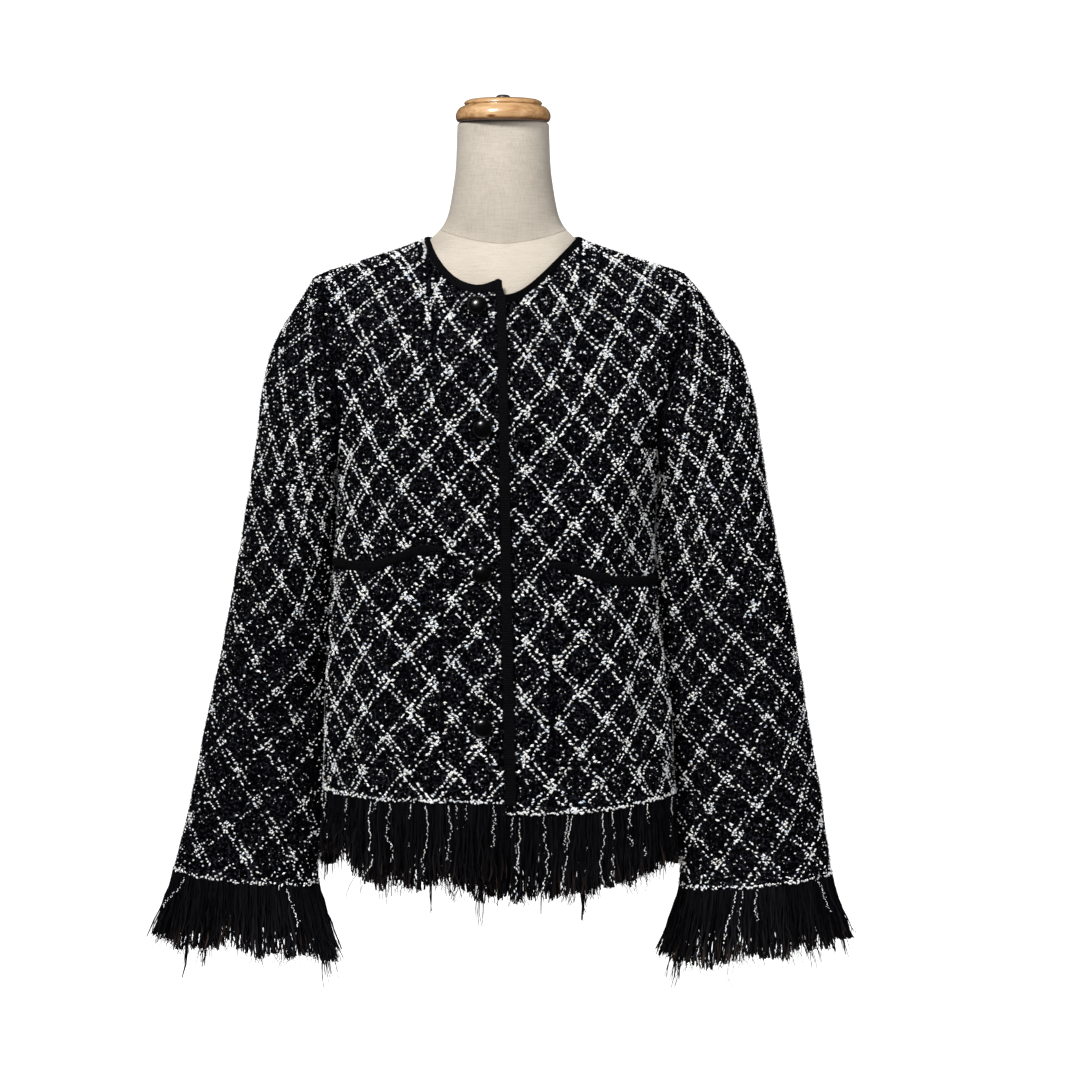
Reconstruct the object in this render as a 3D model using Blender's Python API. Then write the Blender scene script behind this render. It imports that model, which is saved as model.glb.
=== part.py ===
"""A cropped, collarless tweed jacket, buttoned and standing on a limbless dress form.

Frame: metres, +Z up, +X to the wearer's left, the front faces -Y. The origin is
on the floor, at the middle of the stand's base. Sizes below are millimetres.

The cloth follows one rule everywhere. A body section is a superellipse, and above
the underarm the cloth runs up in a quarter turn to the shoulder ridge. Each panel
is a grid of points on that rule, given a wall along its own normals.
"""

import math
import random
from collections import namedtuple

import bmesh
import bpy
import numpy as np

# ---------------------------------------------------------------- sizes, in mm
WALL = 2.6  # knitted tweed
BINDING_WALL = 3.0  # ribbed tape, folded double
SEAM = 0.3  # room between two pieces that meet
LAID_ON = 0.4  # room under a piece that lies on a panel
ROUNDNESS = 2.3  # exponent of a body section, 2 is an ellipse
YOKE_DROP = 200.0  # from the shoulder ridge down to the underarm level
FALL_PER_DROP = 300.0  # about how far the body falls from one drop to the next
NECK_HALF_WIDTH = 70.0  # neckline, at the shoulder seam
NECK_BINDING_WIDTH = 5.7
UNDER_LAP = 3.4  # how far the left front lies under the right one
UNDER_LAP_ENDS = (-3.5, 46.0)  # across: where it is whole, and where it is gone

RIGHT, LEFT = -1, 1  # the wearer's sides, as signs of X
FRONT, BACK = -1, 1  # as signs of Y
# The four quarters in order round the body, with the way in which each one's points run.
QUARTERS = [(LEFT, FRONT, 1), (LEFT, BACK, -1), (RIGHT, BACK, 1), (RIGHT, FRONT, -1)]

# Height of the shoulder ridge, by distance from the centre line. The first row mirrors
# the third, so that the curve is level at the centre.
Ridge = namedtuple("Ridge", "across height")
RIDGE = [
    Ridge(-35, 864.5),
    Ridge(0, 868.5),
    Ridge(35, 864.5),
    Ridge(70, 855.0),
    Ridge(90, 847.5),
    Ridge(107, 841.5),
    Ridge(125, 836.0),
    Ridge(144, 830.0),
    Ridge(160, 825.0),
    Ridge(171, 821.0),
    Ridge(190, 811.0),
]

# Armhole edge's distance from the centre, by drop from the shoulder ridge (0) down to
# the underarm (1), where it meets the section's own side.
Armhole = namedtuple("Armhole", "drop right_front left_front right_back left_back")
ARMHOLE = [
    Armhole(0.00, 171.0, 171.0, 171.0, 171.0),
    Armhole(0.22, 170.0, 172.5, 171.0, 172.0),
    Armhole(0.44, 166.0, 170.0, 168.5, 169.5),
    Armhole(0.67, 156.0, 157.0, 161.5, 158.5),
    Armhole(0.87, 152.0, 143.5, 154.0, 145.5),
    Armhole(1.00, 158.0, 148.0, 158.0, 148.0),
]

# Body sections, by drop: the shoulder ridge is 0, the underarm 1 and the hem 2. Above
# the underarm a section's rule runs on past the armhole, where the sleeve takes over.
Body = namedtuple("Body", "drop right left front back")
BODY = [
    Body(0.00, 211.0, 208.0, 122.0, 110.0),
    Body(0.25, 211.0, 208.0, 122.0, 110.0),
    Body(0.45, 206.0, 202.0, 122.0, 110.0),
    Body(0.67, 185.0, 178.0, 122.0, 110.0),
    Body(0.87, 164.0, 154.5, 122.0, 110.0),
    Body(1.00, 158.0, 148.0, 121.8, 109.6),
    Body(1.25, 161.0, 144.5, 121.0, 108.0),
    Body(1.50, 166.5, 151.0, 122.0, 109.0),
    Body(1.75, 170.0, 159.0, 125.0, 114.0),
    Body(2.00, 172.0, 164.5, 129.0, 120.0),
]
HEM_FRONT = 333.0  # height of the right front's hem
HEM_LEFT_SIDE = 330.0
HEM_LEFT_DIP = 8.0
HEM_BACK = 331.5
HEM_BACK_TILT = 1.5
HEM_DIP_WIDTH = 165.0  # across: where the dip has faded out
FLARE_START = 1.2  # drop
# Soft flares of the hem: where round the section, how deep, how wide.
Flare = namedtuple("Flare", "side face across depth width")
FLARES = [
    Flare(RIGHT, FRONT, 118, 3.0, 26),
    Flare(LEFT, FRONT, 84, 4.0, 30),
    Flare(LEFT, FRONT, 140, -2.5, 20),
    Flare(RIGHT, BACK, 70, 4.0, 34),
    Flare(LEFT, BACK, 92, 4.5, 32),
    Flare(RIGHT, BACK, 135, -3.0, 22),
]

# Neckline, seen from the front: heights by distance from the centre line.
Neckline = namedtuple("Neckline", "across right_front left_front back")
NECKLINE = [
    Neckline(0, 811.0, 801.0, 849.0),
    Neckline(12, 810.0, 803.0, 849.2),
    Neckline(25, 809.0, 810.0, 850.0),
    Neckline(40, 814.0, 823.0, 851.5),
    Neckline(52, 824.0, 835.0, 853.2),
    Neckline(62, 838.0, 845.5, 854.2),
    Neckline(70, 855.0, 855.0, 855.0),
]

TAPE_SEAM_SHARE = 0.002  # room beside the tape, as a share of the panel's width
# The tape's top corner stands a little above the neckline and is cut aslant.
CORNER_SHIFTS = [(-4.0, 0, 2.6), (-1.5, 0, 2.8), (0, 0, 2.0)]  # from the free edge inward

# The fronts' free edges: how far each runs past the centre line, by drop.
Edge = namedtuple("Edge", "drop right left")
EDGE = [
    Edge(0.0, 2.0, 36.0),
    Edge(0.6, 4.0, 38.0),
    Edge(1.0, 6.5, 40.0),
    Edge(1.6, 10.0, 42.0),
    Edge(2.0, 13.0, 42.0),
]

# Sleeves, ring by ring from the armhole seam: the outer and the inner point seen
# from the front, and the depth before and behind the sleeve's own middle.
Ring = namedtuple("Ring", "outer_x outer_z inner_x inner_z front back middle own")
SLEEVE_RIGHT = [
    Ring(180.5, 816.5, 163.0, 615.0, 68, 68, 1, 0.10),
    Ring(190.5, 803.0, 164.5, 608.0, 69, 68, 1, 0.25),
    Ring(200.0, 785.0, 165.0, 600.0, 69, 67, 1, 0.42),
    Ring(211.5, 764.0, 165.5, 590.0, 68, 66, 1, 0.60),
    Ring(221.0, 740.0, 166.0, 577.0, 67, 65, 0, 0.78),
    Ring(228.5, 706.0, 166.5, 560.0, 65, 63, 0, 0.92),
    Ring(233.5, 664.0, 167.5, 540.0, 62, 60, -1, 1.0),
    Ring(241.0, 616.0, 169.0, 516.0, 59, 57, -2, 1.0),
    Ring(250.0, 560.0, 170.0, 487.0, 56, 54, -3, 1.0),
    Ring(261.0, 502.0, 172.0, 452.0, 53, 51, -4, 1.0),
    Ring(272.0, 444.0, 174.0, 412.0, 51, 49, -5, 1.0),
    Ring(284.0, 388.0, 175.5, 366.0, 49, 47, -6, 1.0),
    Ring(296.0, 330.0, 176.5, 315.0, 48, 46, -6, 1.0),
    Ring(306.5, 286.0, 177.0, 274.0, 48, 46, -6, 1.0),
    Ring(315.0, 254.0, 176.5, 241.0, 49, 47, -6, 1.0),
]
SLEEVE_LEFT = [
    Ring(177.5, 815.5, 153.5, 615.0, 68, 68, 1, 0.10),
    Ring(187.0, 803.0, 154.5, 608.0, 69, 68, 1, 0.25),
    Ring(197.5, 785.0, 155.0, 600.0, 69, 67, 1, 0.42),
    Ring(210.5, 764.0, 155.5, 590.0, 68, 66, 1, 0.60),
    Ring(224.0, 742.0, 156.0, 577.0, 67, 65, 0, 0.78),
    Ring(235.5, 708.0, 156.5, 560.0, 65, 63, 0, 0.92),
    Ring(243.0, 666.0, 157.0, 540.0, 62, 60, -1, 1.0),
    Ring(251.0, 616.0, 158.5, 516.0, 59, 57, -2, 1.0),
    Ring(261.0, 560.0, 160.0, 487.0, 56, 54, -3, 1.0),
    Ring(272.0, 502.0, 162.0, 452.0, 54, 52, -4, 1.0),
    Ring(282.0, 444.0, 165.0, 412.0, 53, 51, -5, 1.0),
    Ring(291.5, 388.0, 167.5, 366.0, 52, 50, -6, 1.0),
    Ring(301.5, 330.0, 168.5, 312.0, 52, 50, -6, 1.0),
    Ring(308.0, 284.0, 168.5, 270.0, 52, 50, -6, 1.0),
    Ring(313.0, 250.0, 167.5, 238.0, 53, 51, -6, 1.0),
]
SLEEVE_ROUNDNESS = 2.15
MITRE_LIMIT = 0.72  # least cosine of half the angle between two walls at the armhole

# Grid lines of the panels. Across, as shares of the way to the neck point and
# then from there to the side. Down, degrees of the yoke and then drops to the hem.
Lines = namedtuple("Lines", "to_neck to_side")
FRONT_TO_SIDE = [0.14, 0.28, 0.42, 0.56, 0.69, 0.80, 0.893, 0.955, 0.987, 1.0]
RIGHT_LINES = Lines([0.125, 0.30, 0.47, 0.64, 0.82, 0.93, 0.98, 1.0], FRONT_TO_SIDE)
LEFT_LINES = Lines([0.0, 0.19, 0.37, 0.52, 0.67, 0.83, 0.94, 0.985, 1.0], FRONT_TO_SIDE)
BACK_LINES = Lines(
    [0.0, 0.34, 0.65, 0.84, 0.95, 1.0], [0.2, 0.4, 0.58, 0.73, 0.86, 0.946, 0.986, 1.0]
)
YOKE_TURNS = [0, 12, 24, 36, 48, 60, 70, 78, 83, 86.5, 89, 90]
BODY_DROPS = [1.09, 1.2, 1.32, 1.45, 1.58, 1.72, 1.86, 2.0]

# Patch pockets: the grid lines they span, and the S-curved mouth, by distance across.
Pocket = namedtuple("Pocket", "first last bottom side_height rise bend_from bend_to")
POCKET_RIGHT = Pocket(4, 15, 375.0, 544.0, 24.5, 145.0, 60.0)
POCKET_LEFT = Pocket(5, 16, 368.5, 531.0, 23.5, 121.0, 44.0)
MOUTH_BINDING_HEIGHT = 8.4
POCKET_ROWS = 5
POCKET_MIDDLE = 500.0  # height at which the grid lines are read for the mouth's curve

BUTTON_HEIGHTS = [789.0, 677.0, 544.0, 403.5]
BUTTON_ACROSS = [22.4, 17.6, 18.2, 17.4]
BUTTON_RADIUS = 10.2
BUTTON_THICKNESS = 7.0

HEM_FRINGE_LENGTH = 72.0
CUFF_FRINGE_LENGTH = 60.0
FRINGE_STRIP = 5.0  # height of the strip that holds the roots
FRINGE_WALL = 2.4
LOCK_SHARE = 0.84  # of the room it has along the strip
LOCK_KNEE = 0.7  # share of its length at which a lock starts to taper
KNEE_SHARE = 0.9  # of its width and depth that a lock still has there
STRAGGLER_SHARE = 0.12  # of the locks
STRAGGLER_EXTRA = 0.3  # of a lock's length
LOCKS = {"hem_right": 27, "hem_left": 30, "hem_back": 54, "cuff": 47}

# Dress form. Rows run like the cloth's, a little further in.
FORM_UNDER_RIDGE = 3.4  # wall of the cloth and its room on the shoulder
FORM_NECK_ROOM = 1.8  # more room under the neck binding
FORM_NECK_ROOM_ENDS = (75.0, 100.0)  # across: where it is whole, and where it is gone
FORM_YOKE_DROP = 198.0
FORM_NECK_HALF_WIDTH = 60.0
FORM_NECK_FRONT = 60.0
FORM_NECK_BACK = 41.0
Form = namedtuple("Form", "drop half front back")
FORM = [
    Form(0.0, 160.0, 111.0, 98.0),
    Form(0.30, 162.5, 111.0, 98.0),
    Form(0.65, 156.0, 111.5, 98.0),
    Form(1.00, 137.0, 110.0, 97.0),
    Form(1.20, 126.0, 103.0, 91.0),
    Form(1.40, 117.0, 95.0, 86.0),
    Form(1.60, 122.0, 97.0, 92.0),
    Form(1.80, 134.0, 103.0, 101.0),
    Form(2.00, 139.0, 105.0, 104.0),
]
FORM_BOTTOM = 306.0
NECK_FAN = (0.0, 0.0, 853.0)  # middle of the hidden faces where torso and neck meet
FORM_COLUMNS = [0, 0.10, 0.19, 0.27, 0.335, 0.375, 0.50, 0.64, 0.78, 0.89, 0.965, 1.0]
FORM_TURNS = [0, 12, 24, 36, 48, 60, 75, 90]
FORM_DROPS = [t / 90 for t in FORM_TURNS] + [1.2, 1.4, 1.6, 1.8, 2.0]
Neck = namedtuple("Neck", "height half front back")
NECK = [
    Neck(868.0, 54.5, 52.0, 44.0),
    Neck(880.0, 51.0, 48.5, 45.0),
    Neck(900.0, 48.2, 46.5, 45.5),
    Neck(930.0, 45.2, 44.5, 44.5),
    Neck(965.0, 42.8, 43.0, 43.0),
]
CAP_BOTTOM = 965.3
# Profiles of the turned pieces: radius and height above the piece's own bottom.
CAP_PROFILE = [
    (41.5, 0), (44.0, 2.2), (44.8, 5.5), (44.0, 9.2), (41.6, 12.6), (38.4, 15.0),
    (36.0, 15.6), (36.0, 16.6), (36.8, 17.4), (36.2, 19.4), (32.5, 21.4), (22.0, 22.6),
]
KNOB_PROFILE = [(6.6, 0), (6.9, 0.8), (6.0, 2.4), (3.4, 3.2)]
BASE_PROFILE = [(138.0, 0), (140.0, 2.0), (140.0, 9.0), (136.0, 13.0), (60.0, 17.0), (19.0, 20.0)]
POLE_PROFILE = [
    (17.0, 0), (17.0, 10.0), (9.5, 14.0), (9.5, 268.0), (22.0, 274.0), (22.0, 285.4),
]
TURNED_SEGMENTS = 28

MM = 0.001


# ------------------------------------------------------------- reading a table
def smooth_through(known, values, at):
    """A smooth curve through the table's points, flat beyond its ends."""
    if at <= known[0]:
        return values[0]
    if at >= known[-1]:
        return values[-1]
    i = next(k for k in range(len(known) - 1) if at <= known[k + 1])

    def slope(k):
        low, high = max(k - 1, 0), min(k + 1, len(known) - 1)
        return (values[high] - values[low]) / (known[high] - known[low])

    step = known[i + 1] - known[i]
    t = (at - known[i]) / step
    return (
        (2 * t**3 - 3 * t**2 + 1) * values[i]
        + (t**3 - 2 * t**2 + t) * step * slope(i)
        + (3 * t**2 - 2 * t**3) * values[i + 1]
        + (t**3 - t**2) * step * slope(i + 1)
    )


def look_up(table, key, column, at):
    return smooth_through([getattr(r, key) for r in table], [getattr(r, column) for r in table], at)


def ease(t):
    t = min(max(t, 0.0), 1.0)
    return t * t * (3 - 2 * t)


def side_word(side):
    return "right" if side == RIGHT else "left"


def face_word(face):
    return "front" if face == FRONT else "back"


# ---------------------------------------------------------- the cloth's surface
def ridge_height(across):
    return look_up(RIDGE, "across", "height", abs(across))


def armhole_reach(side, face, drop):
    return look_up(ARMHOLE, "drop", f"{side_word(side)}_{face_word(face)}", drop)


def superellipse(across, half, depth):
    inside = 1 - min(abs(across) / half, 1.0) ** ROUNDNESS
    return depth * inside ** (1 / ROUNDNESS)


def hem_height(side, face, across):
    """The hem dips a little at the centre of the left front and is nearly level elsewhere."""
    centre_share = max(0.0, 1 - (across / HEM_DIP_WIDTH) ** 2)
    if face == BACK:
        return HEM_BACK - side * HEM_BACK_TILT * (1 - centre_share)
    return HEM_FRONT if side == RIGHT else HEM_LEFT_SIDE - HEM_LEFT_DIP * centre_share


def flare(side, face, across, drop):
    low = ease((drop - FLARE_START) / (2 - FLARE_START))
    return low * sum(
        f.depth * math.exp(-(((across - f.across) / f.width) ** 2))
        for f in FLARES
        if f.side == side and f.face == face
    )


def under_lap(across):
    """How deep the left front lies here under the right one."""
    whole, gone = UNDER_LAP_ENDS
    return UNDER_LAP * (1 - ease((across - whole) / (gone - whole)))


def section(side, face, across, drop):
    """Depth of the body's section at `across` mm from the centre."""
    half = look_up(BODY, "drop", side_word(side), drop)
    return superellipse(across, half, look_up(BODY, "drop", face_word(face), drop))


def yoke_point(side, face, across, drop):
    """Above the underarm: a quarter turn from the ridge down to drop 1."""
    angle = drop * math.pi / 2
    depth = section(side, face, across, drop) * math.sin(angle)
    height = ridge_height(across) - YOKE_DROP * (1 - math.cos(angle))
    return np.array([side * across, face * depth, height])


def body_point(side, face, across, drop):
    """Below the underarm. Flares fade out toward the side, where the section turns in."""
    depth = section(side, face, across, drop)
    depth += flare(side, face, across, drop) * math.sqrt(depth / BODY[0].front)
    half_here, half_above = (look_up(BODY, "drop", side_word(side), d) for d in (drop, 1.0))
    top = ridge_height(across * half_above / half_here) - YOKE_DROP
    height = top + (hem_height(side, face, across) - top) * (drop - 1)
    return np.array([side * across, face * depth, height])


def surface(side, face, across, drop):
    """The cloth's outside. Drop 0 is the shoulder ridge, 1 the underarm, 2 the hem."""
    return (yoke_point if drop <= 1 else body_point)(side, face, across, drop)


def cloth_at(side, face, across, drop):
    """A point of the cloth and its normal."""

    def at(row, step):
        return surface(side, face, across + (step - 0.5) * 10, row)

    point = at(drop, 0.5)
    return point, exact_normal(at, drop, 0.5, inside_of(point))


def side_reach(side, face, drop):
    if drop <= 1:
        return armhole_reach(side, face, drop)
    return look_up(BODY, "drop", side_word(side), drop)


def neckline_height(side, face, across, grow):
    """The neckline moved outward by `grow`, seen from the front."""
    column = "back" if face == BACK else f"{side_word(side)}_front"
    wide = (NECK_HALF_WIDTH + grow) / NECK_HALF_WIDTH
    top = ridge_height(NECK_HALF_WIDTH)
    inner = look_up(NECKLINE, "across", column, max(across, 0.0) / wide)
    lowest = look_up(NECKLINE, "across", column, 0.0)
    deeper = (top - lowest + grow) / (top - lowest)
    return ridge_height(NECK_HALF_WIDTH + grow) - (top - inner) * deeper


def drop_at_height(across, height):
    """The yoke's drop at a height above the underarm."""
    cosine = 1 - (ridge_height(across) - height) / YOKE_DROP
    return math.acos(min(max(cosine, -1.0), 1.0)) * 2 / math.pi


def neck_column(side, edge):
    """The grid line that starts at the neck point, where the shoulder seam meets the binding."""
    free = look_up(EDGE, "drop", side_word(side), 0.0) if edge else 0.0
    point = NECK_HALF_WIDTH + NECK_BINDING_WIDTH
    return (point + free) / (armhole_reach(side, FRONT, 0.0) + free)


def columns_of(lines, side, edge):
    neck = neck_column(side, edge)
    return [neck * share for share in lines.to_neck] + [
        neck + (1 - neck) * share for share in lines.to_side
    ]


def panel_point(side, face, column, drop, edge, grow):
    """A panel's grid point: its column runs from the free edge, or the centre, to the side.

    Columns inside the neck point start on the neckline, and the rest on the ridge.
    """

    def across_at(drop):
        free = -look_up(EDGE, "drop", side_word(side), drop) if edge else 0.0
        return free + (side_reach(side, face, drop) - free) * column

    start = 0.0
    if column < neck_column(side, edge) - 1e-6:
        for _ in range(12):
            across = across_at(start)
            start = drop_at_height(across, neckline_height(side, face, across, grow))
    if drop <= 1:
        drop = start + (1 - start) * drop
    return surface(side, face, across_at(drop), drop)


def unit(vector):
    return vector / np.linalg.norm(vector)


def grid_normals(points, outward_from, closed=False):
    """Normals of a grid of points, turned away from a point inside."""
    rows, columns = len(points), len(points[0])
    normals = []
    for i in range(rows):
        line = []
        for j in range(columns):
            up, down = points[max(i - 1, 0)][j], points[min(i + 1, rows - 1)][j]
            if closed:
                back, on = points[i][j - 1], points[i][(j + 1) % columns]
            else:
                back, on = points[i][max(j - 1, 0)], points[i][min(j + 1, columns - 1)]
            normal = unit(np.cross(down - up, on - back))
            line.append(normal if normal @ (points[i][j] - outward_from(i)) > 0 else -normal)
        normals.append(line)
    return normals


def inside_of(point):
    """A point on the body's axis, somewhat below the given one."""
    return np.array([0.0, 0.0, point[2] - 30])


def exact_normal(at, row, column, outward_from, step=2e-4):
    """Normal of the rule itself: `at(row, column)` gives a point, both shares in their range."""
    down = at(row + step, column) - at(max(row - step, 0.0), column)
    on = at(row, min(column + step, 1.0)) - at(row, column - step)
    normal = unit(np.cross(down, on))
    return normal if normal @ (at(row, column) - outward_from) > 0 else -normal


# --------------------------------------------------------------- making meshes
def new_mesh(name, corners, faces, look):
    """A mesh object from points in mm, faces turned outward."""
    mesh = bpy.data.meshes.new(name)
    mesh.from_pydata([tuple(np.array(c) * MM) for c in corners], [], faces)
    shape = bmesh.new()
    shape.from_mesh(mesh)
    bmesh.ops.remove_doubles(shape, verts=shape.verts, dist=2e-6)
    bmesh.ops.recalc_face_normals(shape, faces=shape.faces)
    if shape.calc_volume(signed=True) < 0:
        bmesh.ops.reverse_faces(shape, faces=shape.faces)
    shape.to_mesh(mesh)
    shape.free()
    mesh.shade_smooth()
    mesh.set_sharp_from_angle(angle=math.radians(40))
    mesh.materials.append(look)
    obj = bpy.data.objects.new(name, mesh)
    bpy.context.collection.objects.link(obj)
    return obj


def wall(name, outer, inner, look, closed=False):
    """A closed wall between two grids of the same size; closed grids run round a tube."""
    rows, columns = len(outer), len(outer[0])
    corners = [p for line in outer for p in line] + [p for line in inner for p in line]
    skin = rows * columns

    def at(i, j, layer):
        return layer * skin + i * columns + j % columns

    faces = []
    for i in range(rows - 1):
        for j in range(columns if closed else columns - 1):
            for layer in (0, 1):
                a, b = at(i, j, layer), at(i, j + 1, layer)
                c, d = at(i + 1, j + 1, layer), at(i + 1, j, layer)
                faces += [(a, b, c), (a, c, d)] if layer == 0 else [(a, c, b), (a, d, c)]
    rim = [((0, j), (0, j + 1)) for j in range(columns if closed else columns - 1)]
    rim += [((rows - 1, j + 1), (rows - 1, j)) for j in range(columns if closed else columns - 1)]
    if not closed:
        rim += [((i + 1, 0), (i, 0)) for i in range(rows - 1)]
        rim += [((i, columns - 1), (i + 1, columns - 1)) for i in range(rows - 1)]
    for (i, j), (k, m) in rim:
        a, b, c, d = at(i, j, 0), at(k, m, 0), at(k, m, 1), at(i, j, 1)
        faces += [(b, a, d), (b, d, c)]
    return new_mesh(name, corners, faces, look)


def turned(name, profile, look, centre=(0, 0), base=0.0, segments=TURNED_SEGMENTS):
    """A solid of revolution about an upright axis, from (radius, height) pairs."""
    corners, faces = [], []
    for radius, height in profile:
        for k in range(segments):
            angle = 2 * math.pi * k / segments
            x = centre[0] + radius * math.cos(angle)
            corners.append((x, centre[1] + radius * math.sin(angle), base + height))
    for i in range(len(profile) - 1):
        for k in range(segments):
            m = (k + 1) % segments
            low, high = i * segments, (i + 1) * segments
            faces.append((low + k, low + m, high + m, high + k))
    faces.append(tuple(range(segments))[::-1])
    faces.append(tuple(range((len(profile) - 1) * segments, len(profile) * segments)))
    return new_mesh(name, corners, faces, look)


# -------------------------------------------------------------------- materials
def look(name, colour, roughness):
    material = bpy.data.materials.new(name)
    material.use_nodes = True
    shader = material.node_tree.nodes["Principled BSDF"]
    shader.inputs["Base Color"].default_value = (*colour, 1)
    shader.inputs["Roughness"].default_value = roughness
    return material


# ------------------------------------------------------------------ the panels
def panel_grid(side, face, columns, edge, grow, lapped=False):
    """Outer points and normals of one half panel, rows from top to hem."""
    drops = [t / 90 for t in YOKE_TURNS] + BODY_DROPS

    def at(row, column):
        return panel_point(side, face, column, row, edge, grow)

    outer, normals = [], []
    for drop in drops:
        points = [at(drop, column) for column in columns]
        line = [exact_normal(at, drop, column, inside_of(points[0])) for column in columns]
        if lapped:
            points = [
                p - n * under_lap(side * p[0]) for p, n in zip(points, line)
            ]
        outer.append(points)
        normals.append(line)
    return outer, normals


def open_seams(outer, side, face):
    """Moves the edges that meet other panels back by half a seam."""
    for i, line in enumerate(outer):
        if i < len(YOKE_TURNS):
            line[-1] = line[-1] - np.array([side * SEAM / 2, 0, 0])
        if i >= len(YOKE_TURNS) - 1:
            line[-1] = line[-1] + np.array([0, face * SEAM / 2, 0])
    outer[0][:] = [p + np.array([0, face * SEAM / 2, 0]) if abs(p[1]) < 1 else p for p in outer[0]]


def inner_grid(outer, normals, thickness=WALL):
    return [
        [p - n * thickness for p, n in zip(points, line)] for points, line in zip(outer, normals)
    ]


def make_back(looks, mitres):
    halves = {}
    for side in (RIGHT, LEFT):
        columns = columns_of(BACK_LINES, side, False)
        outer, normals = panel_grid(side, BACK, columns, False, NECK_BINDING_WIDTH)
        open_seams(outer, side, BACK)
        normals = with_mitres(normals, mitres[side, BACK])
        halves[side] = (outer, inner_grid(outer, normals))
    outer, inner = (
        [right[:0:-1] + left for right, left in zip(halves[RIGHT][k], halves[LEFT][k])]
        for k in (0, 1)
    )
    wall("back", outer, inner, looks["tweed"])
    return outer, inner


def with_mitres(normals, mitre):
    """The armhole edge's wall leans halfway to the sleeve's, so that both end on one face."""
    for i, lean in enumerate(mitre):
        normals[i][-1] = lean
    return normals


def make_front(side, looks, mitres):
    columns = columns_of(RIGHT_LINES if side == RIGHT else LEFT_LINES, side, True)
    outer, normals = panel_grid(side, FRONT, columns, True, NECK_BINDING_WIDTH, side == LEFT)
    open_seams(outer, side, FRONT)
    normals = with_mitres(normals, mitres[side, FRONT])
    inner = inner_grid(outer, normals)
    wall(f"front_{side_word(side)}", outer, inner, looks["tweed"])
    return outer, inner, normals


# ------------------------------------------------------------------ the sleeves
def armhole_loop(side):
    """The seam's points, from the shoulder down the front and up the back."""
    drops = [t / 90 for t in YOKE_TURNS]
    front = [surface(side, FRONT, side_reach(side, FRONT, d), d) for d in drops]
    back = [surface(side, BACK, side_reach(side, BACK, d), d) for d in drops]
    return front + back[-2:0:-1]


def body_normal_at(side, face, drop):
    def at(row, column):
        return surface(side, face, side_reach(side, face, row) * column, row)

    return exact_normal(at, drop, 1.0, inside_of(at(drop, 1.0)))


def ring_points(side, ring, loop, angles):
    """One ring of a sleeve: the armhole's own shape, fading into an oval."""
    outer = np.array([ring.outer_x, ring.outer_z])
    inner = np.array([ring.inner_x, ring.inner_z])
    centre, half = (outer + inner) / 2, (inner - outer) / 2
    top, bottom = loop[0], loop[len(loop) // 2]
    seam_top = np.array([side * top[0], top[2]])
    seam_bottom = np.array([side * bottom[0], bottom[2]])
    seam_half = (seam_bottom - seam_top) / 2
    seam_across = np.array([-seam_half[1], seam_half[0]]) / np.linalg.norm(seam_half)
    across = np.array([-half[1], half[0]]) / np.linalg.norm(half)
    fade = (1 - ring.own) ** 2
    points = []
    for point, angle in zip(loop, angles):
        flat = np.array([side * point[0], point[2]]) - (seam_top + seam_bottom) / 2
        seam_along = flat @ seam_half / (seam_half @ seam_half)
        stray = flat @ seam_across
        power = 2 / SLEEVE_ROUNDNESS
        own_along = -math.copysign(abs(math.cos(angle)) ** power, math.cos(angle))
        own_depth = math.copysign(abs(math.sin(angle)) ** power, math.sin(angle))
        face = FRONT if own_depth > 0 else BACK
        widest = max(abs(p[1]) for p in loop if p[1] * face >= 0)
        seam_depth = point[1] * -1 / widest
        along = seam_along + (own_along - seam_along) * ring.own
        depth = seam_depth + (own_depth - seam_depth) * ring.own
        place = centre + half * along + across * stray * fade
        reach = ring.front if depth > 0 else ring.back
        y = ring.middle * ring.own - depth * reach
        points.append(np.array([side * place[0], y, place[1]]))
    return points


def sleeve_rings(side):
    loop = armhole_loop(side)
    count = len(loop)
    angles = [2 * math.pi * k / count for k in range(count)]
    rings = SLEEVE_RIGHT if side == RIGHT else SLEEVE_LEFT
    grid = [[p + np.array([side * SEAM, 0, 0]) for p in loop]]
    grid += [ring_points(side, ring, loop, angles) for ring in rings]
    return grid


def sleeve_middle(grid):
    return lambda i: sum(grid[max(i, 1)]) / len(grid[0])


def seam_mitres(side, grid, normals):
    """Directions of the armhole seam's walls, halfway between the body's and the sleeve's."""
    count = len(YOKE_TURNS)
    found = {}
    for face in (FRONT, BACK):
        lean = []
        for k, turn in enumerate(YOKE_TURNS):
            place = k if face == FRONT else (len(grid[0]) - k) % len(grid[0])
            body = body_normal_at(side, face, turn / 90)
            both = body + normals[0][place]
            half_angle = max(np.linalg.norm(both) / 2, MITRE_LIMIT)
            lean.append(unit(both) / half_angle)
        found[face] = lean
    # Front and back walls share one lean where they meet, on the shoulder and under the arm.
    for end in (0, count - 1):
        shared = (found[FRONT][end] + found[BACK][end]) / 2
        shared[1] = 0.0
        found[FRONT][end] = found[BACK][end] = shared
    return found


def make_sleeve(side, looks):
    grid = sleeve_rings(side)
    normals = grid_normals(grid, sleeve_middle(grid), closed=True)
    mitres = seam_mitres(side, grid, normals)
    lean = mitres[FRONT] + mitres[BACK][-2:0:-1]
    inner = inner_grid(grid, [lean] + normals[1:])
    wall(f"sleeve_{side_word(side)}", grid, inner, looks["tweed"], closed=True)
    return grid, inner, mitres


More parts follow.
